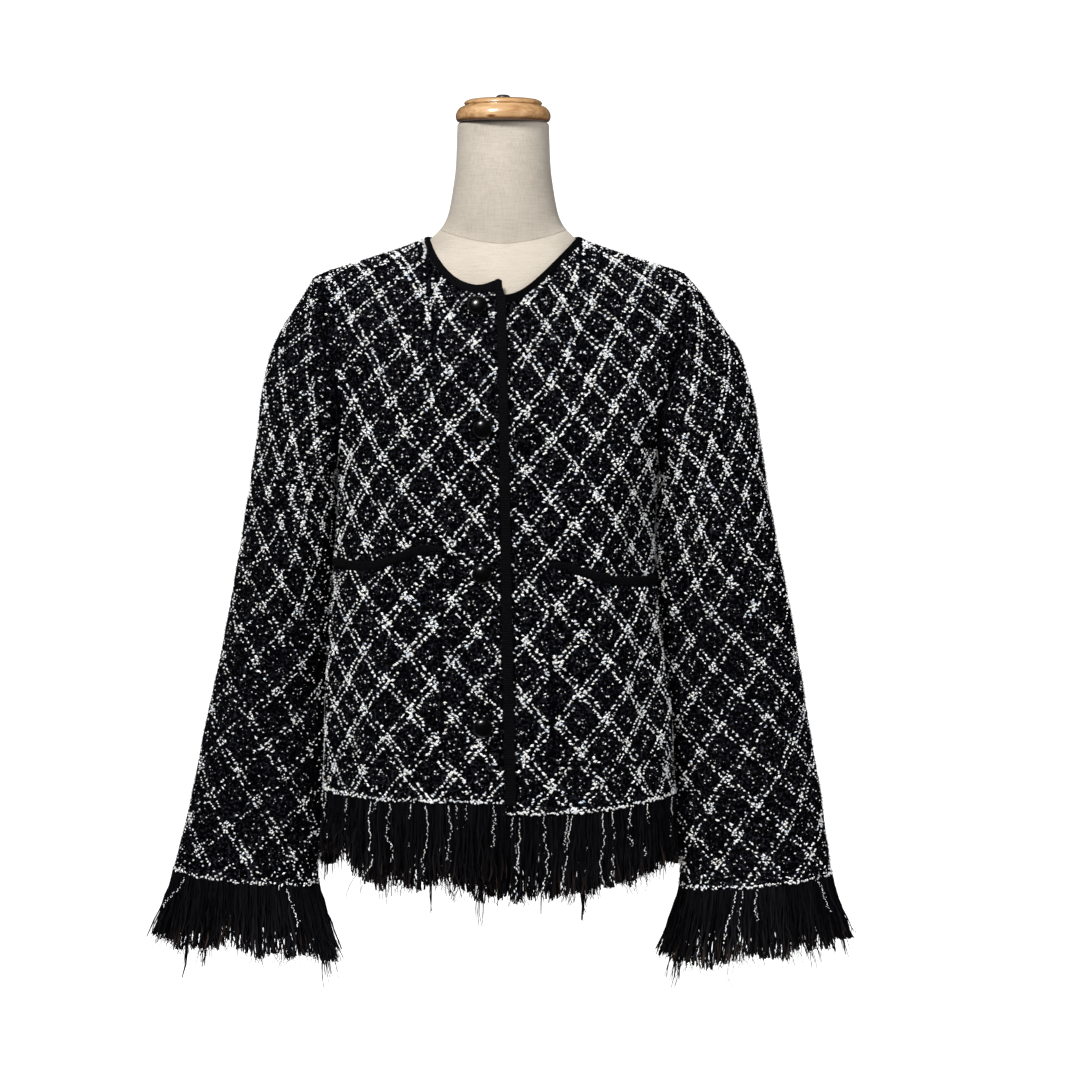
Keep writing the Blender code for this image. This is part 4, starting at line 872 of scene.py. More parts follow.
# %% Materials
class Look:
    """A material put together node by node."""

    def __init__(self, name, colour, roughness, **constants):
        self.material = bpy.data.materials.new(name)
        self.material.use_nodes = True
        self.tree = self.material.node_tree
        self.shader = self.tree.nodes["Principled BSDF"]
        self.set(self.shader, Base_Color=(*colour, 1), Roughness=roughness, **constants)
        self.object_coords = self.add("ShaderNodeTexCoord").outputs["Object"]

    def give(self, socket, value):
        """Feeds an input with a plain value or with another node's output."""
        if isinstance(value, bpy.types.NodeSocket):
            self.tree.links.new(value, socket)
        else:
            socket.default_value = value

    def set(self, node, **inputs):
        for socket, value in inputs.items():
            self.give(node.inputs[socket.replace("_", " ")], value)
        return node

    def add(self, kind, **inputs):
        return self.set(self.tree.nodes.new(kind), **inputs)

    def noise(self, scale, detail=2.0, roughness=0.5, stretch=None):
        """Noise on the object's own axes, finer along the axes that `stretch` makes larger."""
        vector = self.object_coords
        if stretch:
            vector = self.add("ShaderNodeMapping", Vector=vector, Scale=stretch).outputs["Vector"]
        node = self.add("ShaderNodeTexNoise", Vector=vector, Scale=scale, Detail=detail, Roughness=roughness)
        return node.outputs["Fac"]

    def maths(self, operation, a, b=0.0):
        node = self.tree.nodes.new("ShaderNodeMath")
        node.operation = operation
        for socket, value in zip(node.inputs, (a, b)):
            self.give(socket, value)
        return node.outputs["Value"]

    def times(self, a, b):
        return self.maths("MULTIPLY", a, b)

    def plus(self, a, b):
        return self.maths("ADD", a, b)

    def ramp(self, value, *stops):
        node = self.add("ShaderNodeValToRGB", Fac=value)
        ramp = node.color_ramp
        while len(ramp.elements) < len(stops):
            ramp.elements.new(0.5)
        for element, (position, *colour) in zip(ramp.elements, stops):
            element.position = position
            element.color = (*colour, 1)
        return node.outputs["Color"]

    def ribs(self, pitch):
        """Rounded ribs up the piece's own map, which is in millimetres."""
        layer = self.tree.nodes.new("ShaderNodeUVMap")
        layer.uv_map = "cloth"
        place = self.add("ShaderNodeSeparateXYZ", Vector=layer.outputs["UV"]).outputs["Y"]
        return self.maths("SINE", self.times(place, 2 * math.pi / pitch))

    def yarn_colour(self):
        """The colour that each vertex of the yarn carries."""
        node = self.tree.nodes.new("ShaderNodeAttribute")
        node.attribute_name = "yarn"
        return node.outputs["Color"]

    def paint(self, colour):
        self.set(self.shader, Base_Color=colour)

    def emboss(self, height, depth_mm):
        node = self.add("ShaderNodeBump", Height=height, Strength=1.0, Distance=depth_mm * MM)
        self.set(self.shader, Normal=node.outputs["Normal"])

    def haze(self, scale, detail, least, more):
        """Roughness that changes from place to place."""
        self.set(self.shader, Roughness=self.plus(self.times(self.noise(scale, detail), more), least))


def sheen(specular, weight, roughness):
    return {"Specular_IOR_Level": specular, "Sheen_Weight": weight, "Sheen_Roughness": roughness}


# %% [markdown]
# ## Cloth and yarn
# The ground is low rows of black loops with a few greyer fibres on their tops, and painted shade
# makes it almost black in the hollows between them. The nubs are matt white slubs, each with its own
# shade. The tape is ribbed, smoother and a deeper black, with painted shade in the grooves between its
# ribs. The fringe is loose black yarn, browner at its frayed ends. The linen has fine threads, some
# of them thicker than the rest.


# %% Cloth and yarn
def tweed_look():
    bluish = (0.62, 0.66, 0.80, 1)
    look = Look("tweed_ground", (0.006, 0.006, 0.008), 0.92, Sheen_Tint=bluish, **sheen(0.005, 0.002, 0.45))
    loops, clumps = look.noise(430, 3.0, 0.62), look.noise(120)
    height = look.plus(look.times(loops, 1.5), look.times(look.ribs(1.35), 0.16))
    look.emboss(look.plus(height, look.times(clumps, 0.7)), 0.9)
    # painted shade: the colour follows the loops' height, nearly black in the hollows between them, with
    # greyer fibres on their tops
    look.paint(look.ramp(
        loops, (0.40, 0.0001, 0.0001, 0.0002), (0.54, 0.0018, 0.0018, 0.0026), (0.72, 0.032, 0.033, 0.042)
    ))
    return look.material


def nub_look():
    look = Look("white_nubs", (0.75, 0.75, 0.74), 0.85, **sheen(0.2, 0.15, 0.5))
    grime = look.ramp(look.noise(900), (0.3, 0.82, 0.82, 0.84), (0.6, 1, 1, 1))
    mixed = look.tree.nodes.new("ShaderNodeMix")
    mixed.data_type, mixed.blend_type = "RGBA", "MULTIPLY"
    for socket, value in ((0, 1.0), (6, look.yarn_colour()), (7, grime)):  # factor and two colours
        look.give(mixed.inputs[socket], value)
    look.paint(mixed.outputs[2])
    look.emboss(look.noise(1400), 0.25)
    return look.material


def binding_look():
    look = Look("ribbed_tape", (0.0035, 0.0035, 0.0045), 0.78, **sheen(0.03, 0.002, 0.4))
    rib, fuzz = look.ribs(1.5), look.noise(700, 3.0)
    look.emboss(look.plus(rib, look.times(fuzz, 0.8)), 0.22)
    # painted shade: the colour is darker where the ribs' bump is low, in the grooves between them, and varies
    # with the yarn's fuzz
    tone = look.plus(look.times(rib, 0.25), fuzz)
    look.paint(look.ramp(tone, (0.25, 0.0005, 0.0005, 0.0007), (0.85, 0.0056, 0.0056, 0.0068)))
    return look.material


def fringe_look():
    look = Look("fringe_yarn", (0.006, 0.006, 0.008), 0.85, **sheen(0.03, 0.003, 0.4))
    look.paint(look.yarn_colour())
    look.emboss(look.noise(1100), 0.2)
    return look.material


def linen_look():
    look = Look("natural_linen", (0.74, 0.66, 0.56), 0.88, **sheen(0.2, 0.12, 0.5))
    warp, weft = (look.noise(1.0, 3.0, 0.6, by) for by in ((1300, 1300, 60), (70, 70, 1500)))
    threads = look.plus(warp, weft)
    tone = look.plus(look.times(threads, 0.5), look.times(look.noise(26), 0.35))
    look.paint(look.ramp(
        tone, (0.50, 0.375, 0.330, 0.274), (0.68, 0.462, 0.412, 0.347), (0.86, 0.528, 0.478, 0.410)
    ))
    look.emboss(threads, 0.35)
    return look.material


# %% [markdown]
# ## Wood, enamel and polish
# The cap is honey-coloured wood under clear varnish, with one small knot in front; painted shade darkens
# the wood toward the underside of its lower tier. The knob is dark satin metal. The buttons are polished
# black with the haze of handling, and the stand's white enamel has a faint orange peel.

# %% Wood, enamel and polish
KNOT, KNOT_SIZE = (-10.9, -44.0, 965.9), (3.4, 6.0, 1.5)  # mm, on the front of the cap's lower tier
RIM_SHADE_TOP, RIM_SHADE_STRENGTH = 965.9, 150.0  # mm, the height below which painted shade darkens the wood, and how much per metre


def wood_look():
    look = Look("varnished_wood", (0.50, 0.28, 0.12), 0.38, Coat_Weight=0.9, Coat_Roughness=0.07)
    grain = look.noise(1.0, 4.0, 0.6, (24, 300, 420))
    broad = look.noise(1.0, 2.0, 0.5, (14, 60, 70))
    place = [[v * MM for v in values] for values in (KNOT, KNOT_SIZE)]
    centred = look.add("ShaderNodeMapping", Vector=look.object_coords, Location=place[0], Scale=place[1])
    centred.vector_type = "TEXTURE"
    away = look.tree.nodes.new("ShaderNodeVectorMath")
    away.operation = "LENGTH"
    look.give(away.inputs[0], centred.outputs["Vector"])
    near_knot = look.times(look.maths("SUBTRACT", 1.5, away.outputs["Value"]), 0.35)
    height = look.add("ShaderNodeSeparateXYZ", Vector=look.object_coords).outputs["Z"]
    # painted shade: the wood is made darker below that height, where the cap's underside is in shadow
    painted_rim_shade = look.times(look.maths("MAXIMUM", look.maths("SUBTRACT", RIM_SHADE_TOP * MM, height), 0.0), RIM_SHADE_STRENGTH)
    tone = look.plus(look.times(grain, 0.6), look.times(broad, 0.4))
    look.paint(look.ramp(
        look.maths("SUBTRACT", tone, look.maths("MAXIMUM", near_knot, painted_rim_shade)),
        (0.05, 0.085, 0.026, 0.007), (0.36, 0.29, 0.135, 0.046),
        (0.50, 0.47, 0.268, 0.120), (0.64, 0.63, 0.405, 0.205),
    ))
    look.emboss(grain, 0.05)
    return look.material


Haze = namedtuple("Haze", "scale detail least more")
Relief = namedtuple("Relief", "scale depth")


def hard_look(name, colour, haze, relief, patches=(), **constants):
    """A smooth hard surface: haze, low relief and perhaps patches of another tone."""
    look = Look(name, colour, haze.least, **constants)
    if patches:
        look.paint(look.ramp(look.noise(9, 3.0), *patches))
    look.haze(*haze)
    look.emboss(look.noise(relief.scale), relief.depth)
    return look.material


black, satin, white = (0.0008, 0.0008, 0.0010), (0.05, 0.05, 0.052), (0.86, 0.86, 0.85)
white_patches = ((0.35, 0.80, 0.80, 0.785), (0.60, 0.88, 0.88, 0.875))
looks = {
    "tweed": tweed_look(), "nubs": nub_look(), "binding": binding_look(), "fringe": fringe_look(),
    "linen": linen_look(), "wood": wood_look(),
    "button": hard_look(
        "polished_button", black, Haze(260, 3.0, 0.21, 0.06), Relief(90, 0.02), Specular_IOR_Level=0.46
    ),
    "knob": hard_look(
        "dark_satin_metal", satin, Haze(600, 2.0, 0.26, 0.2), Relief(900, 0.03), Metallic=0.6
    ),
    "stand": hard_look(
        "white_enamel", white, Haze(60, 3.0, 0.24, 0.16), Relief(420, 0.03), white_patches,
        Coat_Weight=0.25, Coat_Roughness=0.12,
    ),
}
print("materials:", ", ".join(sorted(looks)))

# %% [markdown]
# ## The cloth goes on
# The back and the two fronts are cut panels, sewn at the shoulders and sides. The sleeves
# are set in. Each is a wall of its own, since each is a piece of its own on the table.

# %% Body and sleeves
SEAM_SHARE, SEAM_THINNING = 0.35, 8.0  # the wall's share at a seam, and mm until it is whole
SEWN_SIDES = {"back": ("low", "high"), "front_right": ("low",), "front_left": ("high",)}  # ends of s


def seam_gap(name, cloth):
    """Distance of each grid point from the nearest seam of its panel."""
    gaps = {
        "top": cloth.t[:1] - cloth.t,
        "low": cloth.s - cloth.s.min(1, keepdims=True),
        "high": cloth.s.max(1, keepdims=True) - cloth.s,
    }
    return np.minimum.reduce([gaps[end] for end in ("top", *SEWN_SIDES.get(name, ()))])


for name, cloth in panels.items():
    wall = WALL * (SEAM_SHARE + (1 - SEAM_SHARE) * ease(seam_gap(name, cloth) / SEAM_THINNING))
    keep(name, wall_piece(name + "_cloth", cloth, "tweed", wall, name.startswith("sleeve")))

# %% [markdown]
# ## Reading a place on the cloth
# Pockets, buttons and nubs all need the same answer: where on a panel is the spot with
# these two coordinates? Newton's method on the grid finds thousands of spots at once.


# %% Finding places
def corner_of(grid, i, j):
    """The whole row and column before fractional ones."""
    rows, columns = grid.shape[:2]
    return np.clip(np.floor(i).astype(int), 0, rows - 2), np.clip(np.floor(j).astype(int), 0, columns - 2)


def sample(grid, i, j):
    """Values of a grid at fractional rows and columns."""
    i0, j0 = corner_of(grid, i, j)
    down, on = i - i0, j - j0
    if grid.ndim == 3:
        down, on = down[:, None], on[:, None]
    above = grid[i0, j0] * (1 - on) + grid[i0, j0 + 1] * on
    below = grid[i0 + 1, j0] * (1 - on) + grid[i0 + 1, j0 + 1] * on
    return above * (1 - down) + below * down


def locate(first, second, a, b, miss=0.5):
    """Rows and columns at which two maps on a grid take the values a and b, and which were found."""
    rows, columns = first.shape
    i, j = np.full(len(a), rows / 2), np.full(len(a), columns / 2)
    for _ in range(40):
        i0, j0 = corner_of(first, i, j)
        ai, aj = first[i0 + 1, j0] - first[i0, j0], first[i0, j0 + 1] - first[i0, j0]
        bi, bj = second[i0 + 1, j0] - second[i0, j0], second[i0, j0 + 1] - second[i0, j0]
        det = ai * bj - aj * bi
        det = np.where(np.abs(det) < 1e-9, 1e-9, det)
        da, db = a - sample(first, i, j), b - sample(second, i, j)
        i = np.clip(i + np.clip((da * bj - aj * db) / det, -25, 25), -1, rows)
        j = np.clip(j + np.clip((ai * db - da * bi) / det, -12, 12), -1, columns)
    error = np.hypot(sample(first, i, j) - a, sample(second, i, j) - b)
    found = (error < miss) & (i >= 0) & (i <= rows - 1) & (j >= 0) & (j <= columns - 1)
    return i, j, found


def spot(cloth, x, z):
    """A point and its normal on a front panel, seen from the front."""
    i, j, _ = locate(cloth.points[..., 0], cloth.points[..., 2], np.array([x]), np.array([z]))
    return sample(cloth.points, i, j)[0], unit(sample(cloth.normals, i, j))[0]


print("a spot on the right front:", spot(panels["front_right"], -60.0, 600.0)[0].round(1))

# %% [markdown]
# ## Patch pockets
# Each pocket is a rectangle of the same tweed, topstitched on three sides. Its mouth
# curves up toward the middle and is bound with the ribbed tape. The patch is made from
# the panel's own points moved out, so it follows every fold, and it sags a little.

# %% Pockets
Pocket = namedtuple("Pocket", "first last bottom side_height rise bend_from bend_to")
POCKETS = {
    RIGHT: Pocket(4, 15, 375.0, 549.0, 19.5, 132.0, 60.0),
    LEFT: Pocket(5, 16, 368.5, 534.0, 20.5, 122.5, 37.0),
}
MOUTH_TAPE_HEIGHT = 8.4
MOUTH_TAPE_LESS = 0.42  # share of its height that the tape loses at its inner end
POCKET_PATTERN_SHIFT = (17.0, 21.0)  # the patch is cut from another place in the cloth
PATCH_ROWS, PATCH_COLUMNS, MOUTH_ROWS = 50, 48, 9
BELLY, BELLY_FADE = 1.6, 60  # mm that the pocket's middle stands off, and above its bottom until it does
STITCHED_BAND, SIDE_SCALE = 5.0, 110  # mm that stitching holds down at the bottom; 7 at the sides
MOUTH_LEVEL = 500.0  # height at which the mouth's places across are read
MOUTH_DOME, MOUTH_THINNER = 0.9, 0.7  # mm that the mouth's tape is domed, and thinner at its edges
POCKET_WALL, MOUTH_WALL = 1.9, 2.4


def pocket_cloths(side):
    """The patch and its mouth's tape, as cloth grids lying on the front."""
    pocket, cloth = POCKETS[side], panels[f"front_{SIDES[side]}"]
    lines, columns = panel_columns(side, FRONT, True), even_columns(side, FRONT, True)
    span = np.linspace(lines[pocket.first], lines[pocket.last], PATCH_COLUMNS)
    j = np.interp(span, columns, np.arange(len(columns)))
    heights = cloth.points[..., 2]
    every_row = np.arange(len(heights))
    falls = [-sample(heights, every_row, np.full(len(heights), column)) for column in j]

    def row_at(z):
        """Fractional row where each of the span's columns has a height."""
        return np.array([np.interp(-height, fall, every_row) for height, fall in zip(z, falls)])

    def cloth_grid(levels, offset, shift):
        points, normals, s, t = [], [], [], []
        for z, out in zip(levels, offset):
            i = row_at(z)
            normal = unit(sample(cloth.normals, i, j))
            points.append(sample(cloth.points, i, j) + normal * np.asarray(out)[:, None])
            normals.append(normal)
            s.append(sample(cloth.s, i, j) + shift[0])
            t.append(sample(cloth.t, i, j) + shift[1])
        return Cloth(*(np.array(v) for v in (points, normals, s, t)))

    across = side * sample(cloth.points, row_at(np.full(len(j), MOUTH_LEVEL)), j)[:, 0]
    rise = pocket.rise * ease((pocket.bend_from - across) / (pocket.bend_from - pocket.bend_to))
    mouth = pocket.side_height + MOUTH_TAPE_HEIGHT / 2 + rise
    top = mouth - MOUTH_TAPE_HEIGHT - SEAM
    down = np.linspace(0, 1, PATCH_ROWS)[:, None]
    levels = top * (1 - down) + pocket.bottom * down
    round_share = np.linspace(0, 1, len(j))
    gape = BELLY * np.sin(math.pi * round_share)[None]
    below = (levels - pocket.bottom).clip(0)
    to_side = (np.minimum(round_share, 1 - round_share) * SIDE_SCALE)[None]
    sewn = ease(np.minimum(to_side, below) / STITCHED_BAND)
    belly = gape * ease(np.minimum(below, BELLY_FADE) / BELLY_FADE)
    offset = LAID_ON + WALL * (0.55 + 0.45 * sewn) + belly * sewn
    patch = cloth_grid(levels, offset, POCKET_PATTERN_SHIFT)
    ups = np.linspace(1, 0, MOUTH_ROWS)[:, None]
    inner_share = round_share if across[-1] < across[0] else 1 - round_share
    high = MOUTH_TAPE_HEIGHT * (1 - MOUTH_TAPE_LESS * ease((inner_share - 0.8) / 0.2))
    rounded = MOUTH_DOME * (1 - (2 * ups - 1) ** 4)
    out = LAID_ON + TAPE_WALL - MOUTH_THINNER + rounded + (gape + 0 * ups)
    return patch, cloth_grid(mouth - MOUTH_TAPE_HEIGHT + high * ups, out, (0, 0))


for side, word in SIDES.items():
    patch, tape = pocket_cloths(side)
    panels[f"pocket_{word}"] = patch
    keep(f"pocket_{word}", wall_piece(f"pocket_{word}_cloth", patch, "tweed", POCKET_WALL))
    upright = tape._replace(s=tape.t, t=tape.s)  # so that its ribs stand upright
    mouth_tape = wall_piece(f"pocket_mouth_tape_{word}", upright, "binding", MOUTH_WALL)
    keep(f"mouth_{word}", mouth_tape, f"pocket_binding_{word}")

# %% [markdown]
# ## Tapes
# The right front's edge and the neckline are bound with the same ribbed tape, folded over
# the raw edge. It stands a little proud and has rounded edges. Its ribs run across it.

# %% Front tape and neck tape
TAPE_ROWS = 9
TAPE_DOME = 0.5  # mm that the tape's middle stands above its edges
SLANT_UP, SLANT_IN = [1.6, 3.0, 2.8], [-3.9, -2.6, -1.2]  # mm at its edges and middle, at the top
NECK_END_LIFT, NECK_END_WIDTH = 2.6, 7.0  # mm that the neck tape's right end rises at its inner edge


def rounded_tape(points, normals, axis):
    """Domes a tape grid across its narrow axis."""
    share = np.linspace(-1, 1, points.shape[axis])
    dome = TAPE_DOME * (1 - share**4) - TAPE_DOME * 0.6 * np.abs(share) ** 8
    dome = dome[None, :, None] if axis == 1 else dome[:, None, None]
    return points + normals * dome


def front_tape():
    columns = np.linspace(0, panel_columns(RIGHT, FRONT, True)[0] - 0.002, TAPE_ROWS)
    points = panel_points(RIGHT, FRONT, columns, PANEL_DROPS, True, 0.0)
    normals = facing_out(points)
    upward, inward = (
        np.interp(columns, [0, columns[-1] / 2, columns[-1]], slant) for slant in (SLANT_UP, SLANT_IN)
    )
    below = points[:1, :, 2] - points[..., 2]
    points[..., 0] += ease(1 - below / 20) * inward
    points[..., 2] += np.exp(-below / 3) * upward
    s, t = flat_map(points, 0)
    return Cloth(rounded_tape(points + normals * (TAPE_WALL - WALL) / 2, normals, 1), normals, s, t)


def surface_normals(side, face, across, drop, step=0.02):
    low, high = np.maximum(drop - step / 10, 0), drop + step / 10
    down = surface(side, face, across, high) - surface(side, face, across, low)
    on = surface(side, face, across + 1, drop) - surface(side, face, across - 1, drop)
    normals = unit(np.cross(on, down))
    point = surface(side, face, across, drop)
    outward = ((point - [0, 0, point[:, 2].mean() - 60]) * normals).sum(-1)
    return normals * np.sign(outward)[:, None]


def neck_run(side, face, edge, grow):
    """Points and normals along a neckline, `grow` mm outside its inner edge."""
    columns = refined(neck_columns(side, face, edge), 0.02)
    panel = panel_points(side, face, columns, np.array([0.0]), edge, NECK_TAPE_WIDTH)[0]
    across = side * panel[:, 0]
    grown = (NECK_HALF_WIDTH + grow) / (NECK_HALF_WIDTH + NECK_TAPE_WIDTH)
    across = np.where(across > 0, across * grown, across)
    lapped = edge and side == LEFT
    if edge and not lapped:
        across[0] += SEAM
    drop = drop_at_height(across, neckline_height(side, face, across, grow))
    drop[-1] = 0.0
    points, normals = surface(side, face, across, drop), surface_normals(side, face, across, drop)
    if lapped:
        points = points - normals * under_lap(side * points[:, 0])[:, None]
    return points + normals * (TAPE_WALL - WALL) / 2, normals


def neck_tape():
    rows = []
    for grow in np.linspace(0, NECK_TAPE_WIDTH - SEAM, TAPE_ROWS):
        places = ((RIGHT, FRONT, True), (RIGHT, BACK, False), (LEFT, BACK, False), (LEFT, FRONT, True))
        a, b, c, d = (np.stack(neck_run(*place, grow)) for place in places)
        rows.append(np.concatenate([a, b[:, -2:0:-1], c, d[:, -2::-1]], 1))
    points, normals = np.stack(rows, 1)
    first_quarter = np.arange(points.shape[1]) < points.shape[1] // 4
    near_end = bell(points[:, :1, 0] - points[..., 0], NECK_END_WIDTH) * first_quarter
    points[..., 2] += NECK_END_LIFT * near_end * np.linspace(1, 0, TAPE_ROWS)[:, None]
    s, t = flat_map(points, 0)
    return Cloth(rounded_tape(points, normals, 0), normals, t, s)  # its ribs run across it


for word, cloth in (("front", front_tape()), ("neck", neck_tape())):
    keep(f"{word}_tape", wall_piece(f"{word}_tape", cloth, "binding", TAPE_WALL), f"{word}_binding")
    print(round(float(cloth.t.max())), "mm long")

# %% [markdown]
# ## White nubs
# The knit floats a slubby white yarn over the black ground, so that nubs stand up in
# dotted double lines. Here the lines make a plain half-drop diamond trellis, a common
# textile layout, with a few flecks in each diamond. A texture would lie flat. Nubs of
# real geometry break the outline and catch the light as the yarn does. Each is an
# eight-sided lump, because there are tens of thousands of them.

# %% Laying out the nubs
CELL_WIDE, CELL_HIGH = 46.0, 53.0  # one diamond, mm
LINE_GAP = 5.6  # between the two dotted lines of a diamond's side
NUB_PITCH = 2.9
SKIPPED = 0.14  # share of a line's nubs that are missing
STRAY_ALONG, STRAY_ASIDE, STRAY_UP = 0.40, 0.75, 0.55  # share of the pitch, and mm off the line
DUST = 0.012  # specks to a square millimetre
EDGE_PITCH, EDGE_ABOVE = 2.2, 2.6  # mm between the nubs of a hem's line, and above the hem
Nubs = namedtuple("Nubs", "s t long wide turn shade")
NubSort = namedtuple("NubSort", "long_from long_to wide_from wide_to shade")
ON_LINE = NubSort(1.7, 4.9, 1.3, 2.7, 0.95)
AT_CROSSING = NubSort(1.7, 4.0, 1.4, 2.7, 0.90)
IN_DIAMOND = NubSort(1.2, 3.0, 1.0, 1.9, 0.90)
SPECK = NubSort(0.8, 1.8, 0.7, 1.2, 0.45)
AT_EDGE = NubSort(1.8, 4.4, 1.3, 2.8, 0.90)


def nub_run(draw, s, t, sort):
    """Nubs at given places, with sizes drawn from their sort's ranges."""
    n = len(s)
    size = draw.random(n) ** 1.6
    long = sort.long_from + (sort.long_to - sort.long_from) * size
    wide = sort.wide_from + (sort.wide_to - sort.wide_from) * draw.random(n)
    turn = draw.normal(0, 0.5, n)
    return Nubs(s, t, long, wide, turn, np.clip(draw.normal(sort.shade, 0.13, n), 0.12, 1.08))


def joined(rows):
    """One named row of arrays from many."""
    return type(rows[0])(*(np.concatenate(arrays) for arrays in zip(*rows)))


def trellis(draw, low, high):
    """Nubs of the trellis over a stretch of the map, corners low and high."""
    (s0, t0), (s1, t1) = low, high
    across_lines = 1 / math.hypot(1 / CELL_WIDE, 1 / CELL_HIGH)
    step = NUB_PITCH * CELL_HIGH / math.hypot(CELL_WIDE, CELL_HIGH)
    runs = []
    for way in (1, -1):
        ends = [s / CELL_WIDE + way * t / CELL_HIGH for s in (s0, s1) for t in (t0, t1)]
        for k in range(math.floor(min(ends)) - 1, math.ceil(max(ends)) + 1):
            for beside in (-1, 1):
                shift = k + 0.5 + beside * LINE_GAP / 2 / across_lines
                t = np.arange(t0, t1, step)
                t = t + draw.uniform(-STRAY_ALONG, STRAY_ALONG, len(t)) * step
                s = CELL_WIDE * (shift - way * t / CELL_HIGH) + draw.normal(0, STRAY_ASIDE, len(t))
                t = t + draw.normal(0, STRAY_UP, len(t))
                kept = (s > s0) & (s < s1) & (draw.random(len(s)) > SKIPPED)
                runs.append(nub_run(draw, s[kept], t[kept], ON_LINE))
    column, row = (v.ravel() for v in np.meshgrid(*(
        np.arange(math.floor(a / cell * 2), math.ceil(b / cell * 2) + 1)
        for a, b, cell in ((s0, s1, CELL_WIDE), (t0, t1, CELL_HIGH))
    )))
    centres = np.stack([column * CELL_WIDE / 2, row * CELL_HIGH / 2], -1)
    for odd, count, reach, sort in ((1, 8, 4.6, AT_CROSSING), (0, 7, 8.0, IN_DIAMOND)):
        around = np.repeat(centres[(column + row) % 2 == odd], count, 0)
        angle = draw.uniform(0, 2 * math.pi, len(around))
        away = reach * np.sqrt(draw.random(len(around)))
        s, t = around[:, 0] + away * np.cos(angle), around[:, 1] + away * np.sin(angle)
        runs.append(nub_run(draw, s, t, sort))
    dust = int((s1 - s0) * (t1 - t0) * DUST)
    runs.append(nub_run(draw, draw.uniform(s0, s1, dust), draw.uniform(t0, t1, dust), SPECK))
    return joined(runs)


def edge_line(draw, cloth):
    """A line of close nubs just above a hem or cuff."""
    s = np.arange(cloth.s[-1].min(), cloth.s[-1].max(), EDGE_PITCH)
    s = s + draw.uniform(-1.2, 1.2, len(s))
    return nub_run(draw, s, EDGE_ABOVE + draw.normal(0, 1.0, len(s)), AT_EDGE)


print(f"diamonds of {CELL_WIDE} x {CELL_HIGH} mm, a nub every {NUB_PITCH} mm of a line")


# %% [markdown]
# A lump is an octahedron pulled out of shape, a third of it sunk in the cloth. Its yarn
# is white, light grey, cream or faintly blue, held as a colour attribute that the
# material reads.

# %% Making the nubs
OCTAHEDRON = np.array([[1, 0, 0], [0, 1, 0], [-1, 0, 0], [0, -1, 0], [0, 0, 1], [0, 0, -1]], float)
OCTAHEDRON_FACES = np.array([
    [0, 1, 4], [1, 2, 4], [2, 3, 4], [3, 0, 4], [1, 0, 5], [2, 1, 5], [3, 2, 5], [0, 3, 5],
])
YARNS = np.array([[0.97, 0.97, 0.96], [0.72, 0.73, 0.76], [0.90, 0.86, 0.78], [0.68, 0.75, 0.87]])
YARN_SHARES = [0.72, 0.16, 0.06, 0.06]
NUB_MARGIN = 0.25  # grid lines that a nub keeps from its panel's edge
NUB_HALF_HIGH, NUB_LEAST = 0.42, 0.35  # half a nub's height: share of its width, and mm on top
NUB_PROUD = 0.30  # share of that by which its middle stands above the cloth


def lumps(name, draw, points, normals, along, long, wide, shade):
    """A joined mesh of little lumps of yarn."""
    aside = unit(np.cross(normals, along))
    along = unit(np.cross(aside, normals))
    high = NUB_HALF_HIGH * wide + NUB_LEAST
    jitter = draw.uniform(0.78, 1.22, (len(points), 6, 1))
    across, up, out = (
        way[:, None] * (OCTAHEDRON[:, k, None] * size[:, None, None])
        for k, (way, size) in enumerate(((along, long / 2), (aside, wide / 2), (normals, high)))
    )
    corners = (across + up + out) * jitter + (points + normals * (NUB_PROUD * high)[:, None])[:, None]
    faces = OCTAHEDRON_FACES[None] + np.arange(len(points))[:, None, None] * 6
    yarn = YARNS[draw.choice(len(YARNS), len(points), p=YARN_SHARES)] * shade[:, None]
    corners, faces, colours = corners.reshape(-1, 3), faces.reshape(-1, 3), np.repeat(yarn, 6, 0)
    made = make_piece(name, corners, faces, looks["nubs"], None, colours)
    print(name, len(points), "nubs,", triangles(made), "triangles")
    return made


def nubs_on(name, seed, share=1.0, scale=1.0):
    """The trellis's nubs on a panel, as one piece; `share` of them are kept, `scale` times as big."""
    cloth, draw = panels[name], np.random.default_rng(seed)
    nubs = trellis(draw, (cloth.s.min() - 2, cloth.t.min()), (cloth.s.max() + 2, cloth.t.max() + 2))
    if not name.startswith("pocket"):
        nubs = joined([nubs, edge_line(draw, cloth)])
    i, j, found = locate(cloth.s, cloth.t, nubs.s, nubs.t)
    rows, columns = cloth.s.shape
    found &= (i > NUB_MARGIN) & (i < rows - 1 - NUB_MARGIN / 2)
    found &= (j > NUB_MARGIN) & (j < columns - 1 - NUB_MARGIN)
    found &= draw.random(len(found)) < share
    if name.startswith("front"):
        found &= shows_on_front(name, sample(cloth.points, i, j))
    i, j = i[found], j[found]
    nubs = Nubs(*(v[found] for v in nubs))
    points, normals = sample(cloth.points, i, j), unit(sample(cloth.normals, i, j))
    level = unit(np.cross(normals, [0, 0, 1.0]) + np.array([1e-3, 0, 0]))
    upward = np.cross(level, normals)
    along = level * np.cos(nubs.turn)[:, None] + upward * np.sin(nubs.turn)[:, None]
    long, wide = nubs.long * scale, nubs.wide * scale
    return lumps(f"nubs_{name}", draw, points, normals, along, long, wide, nubs.shade)


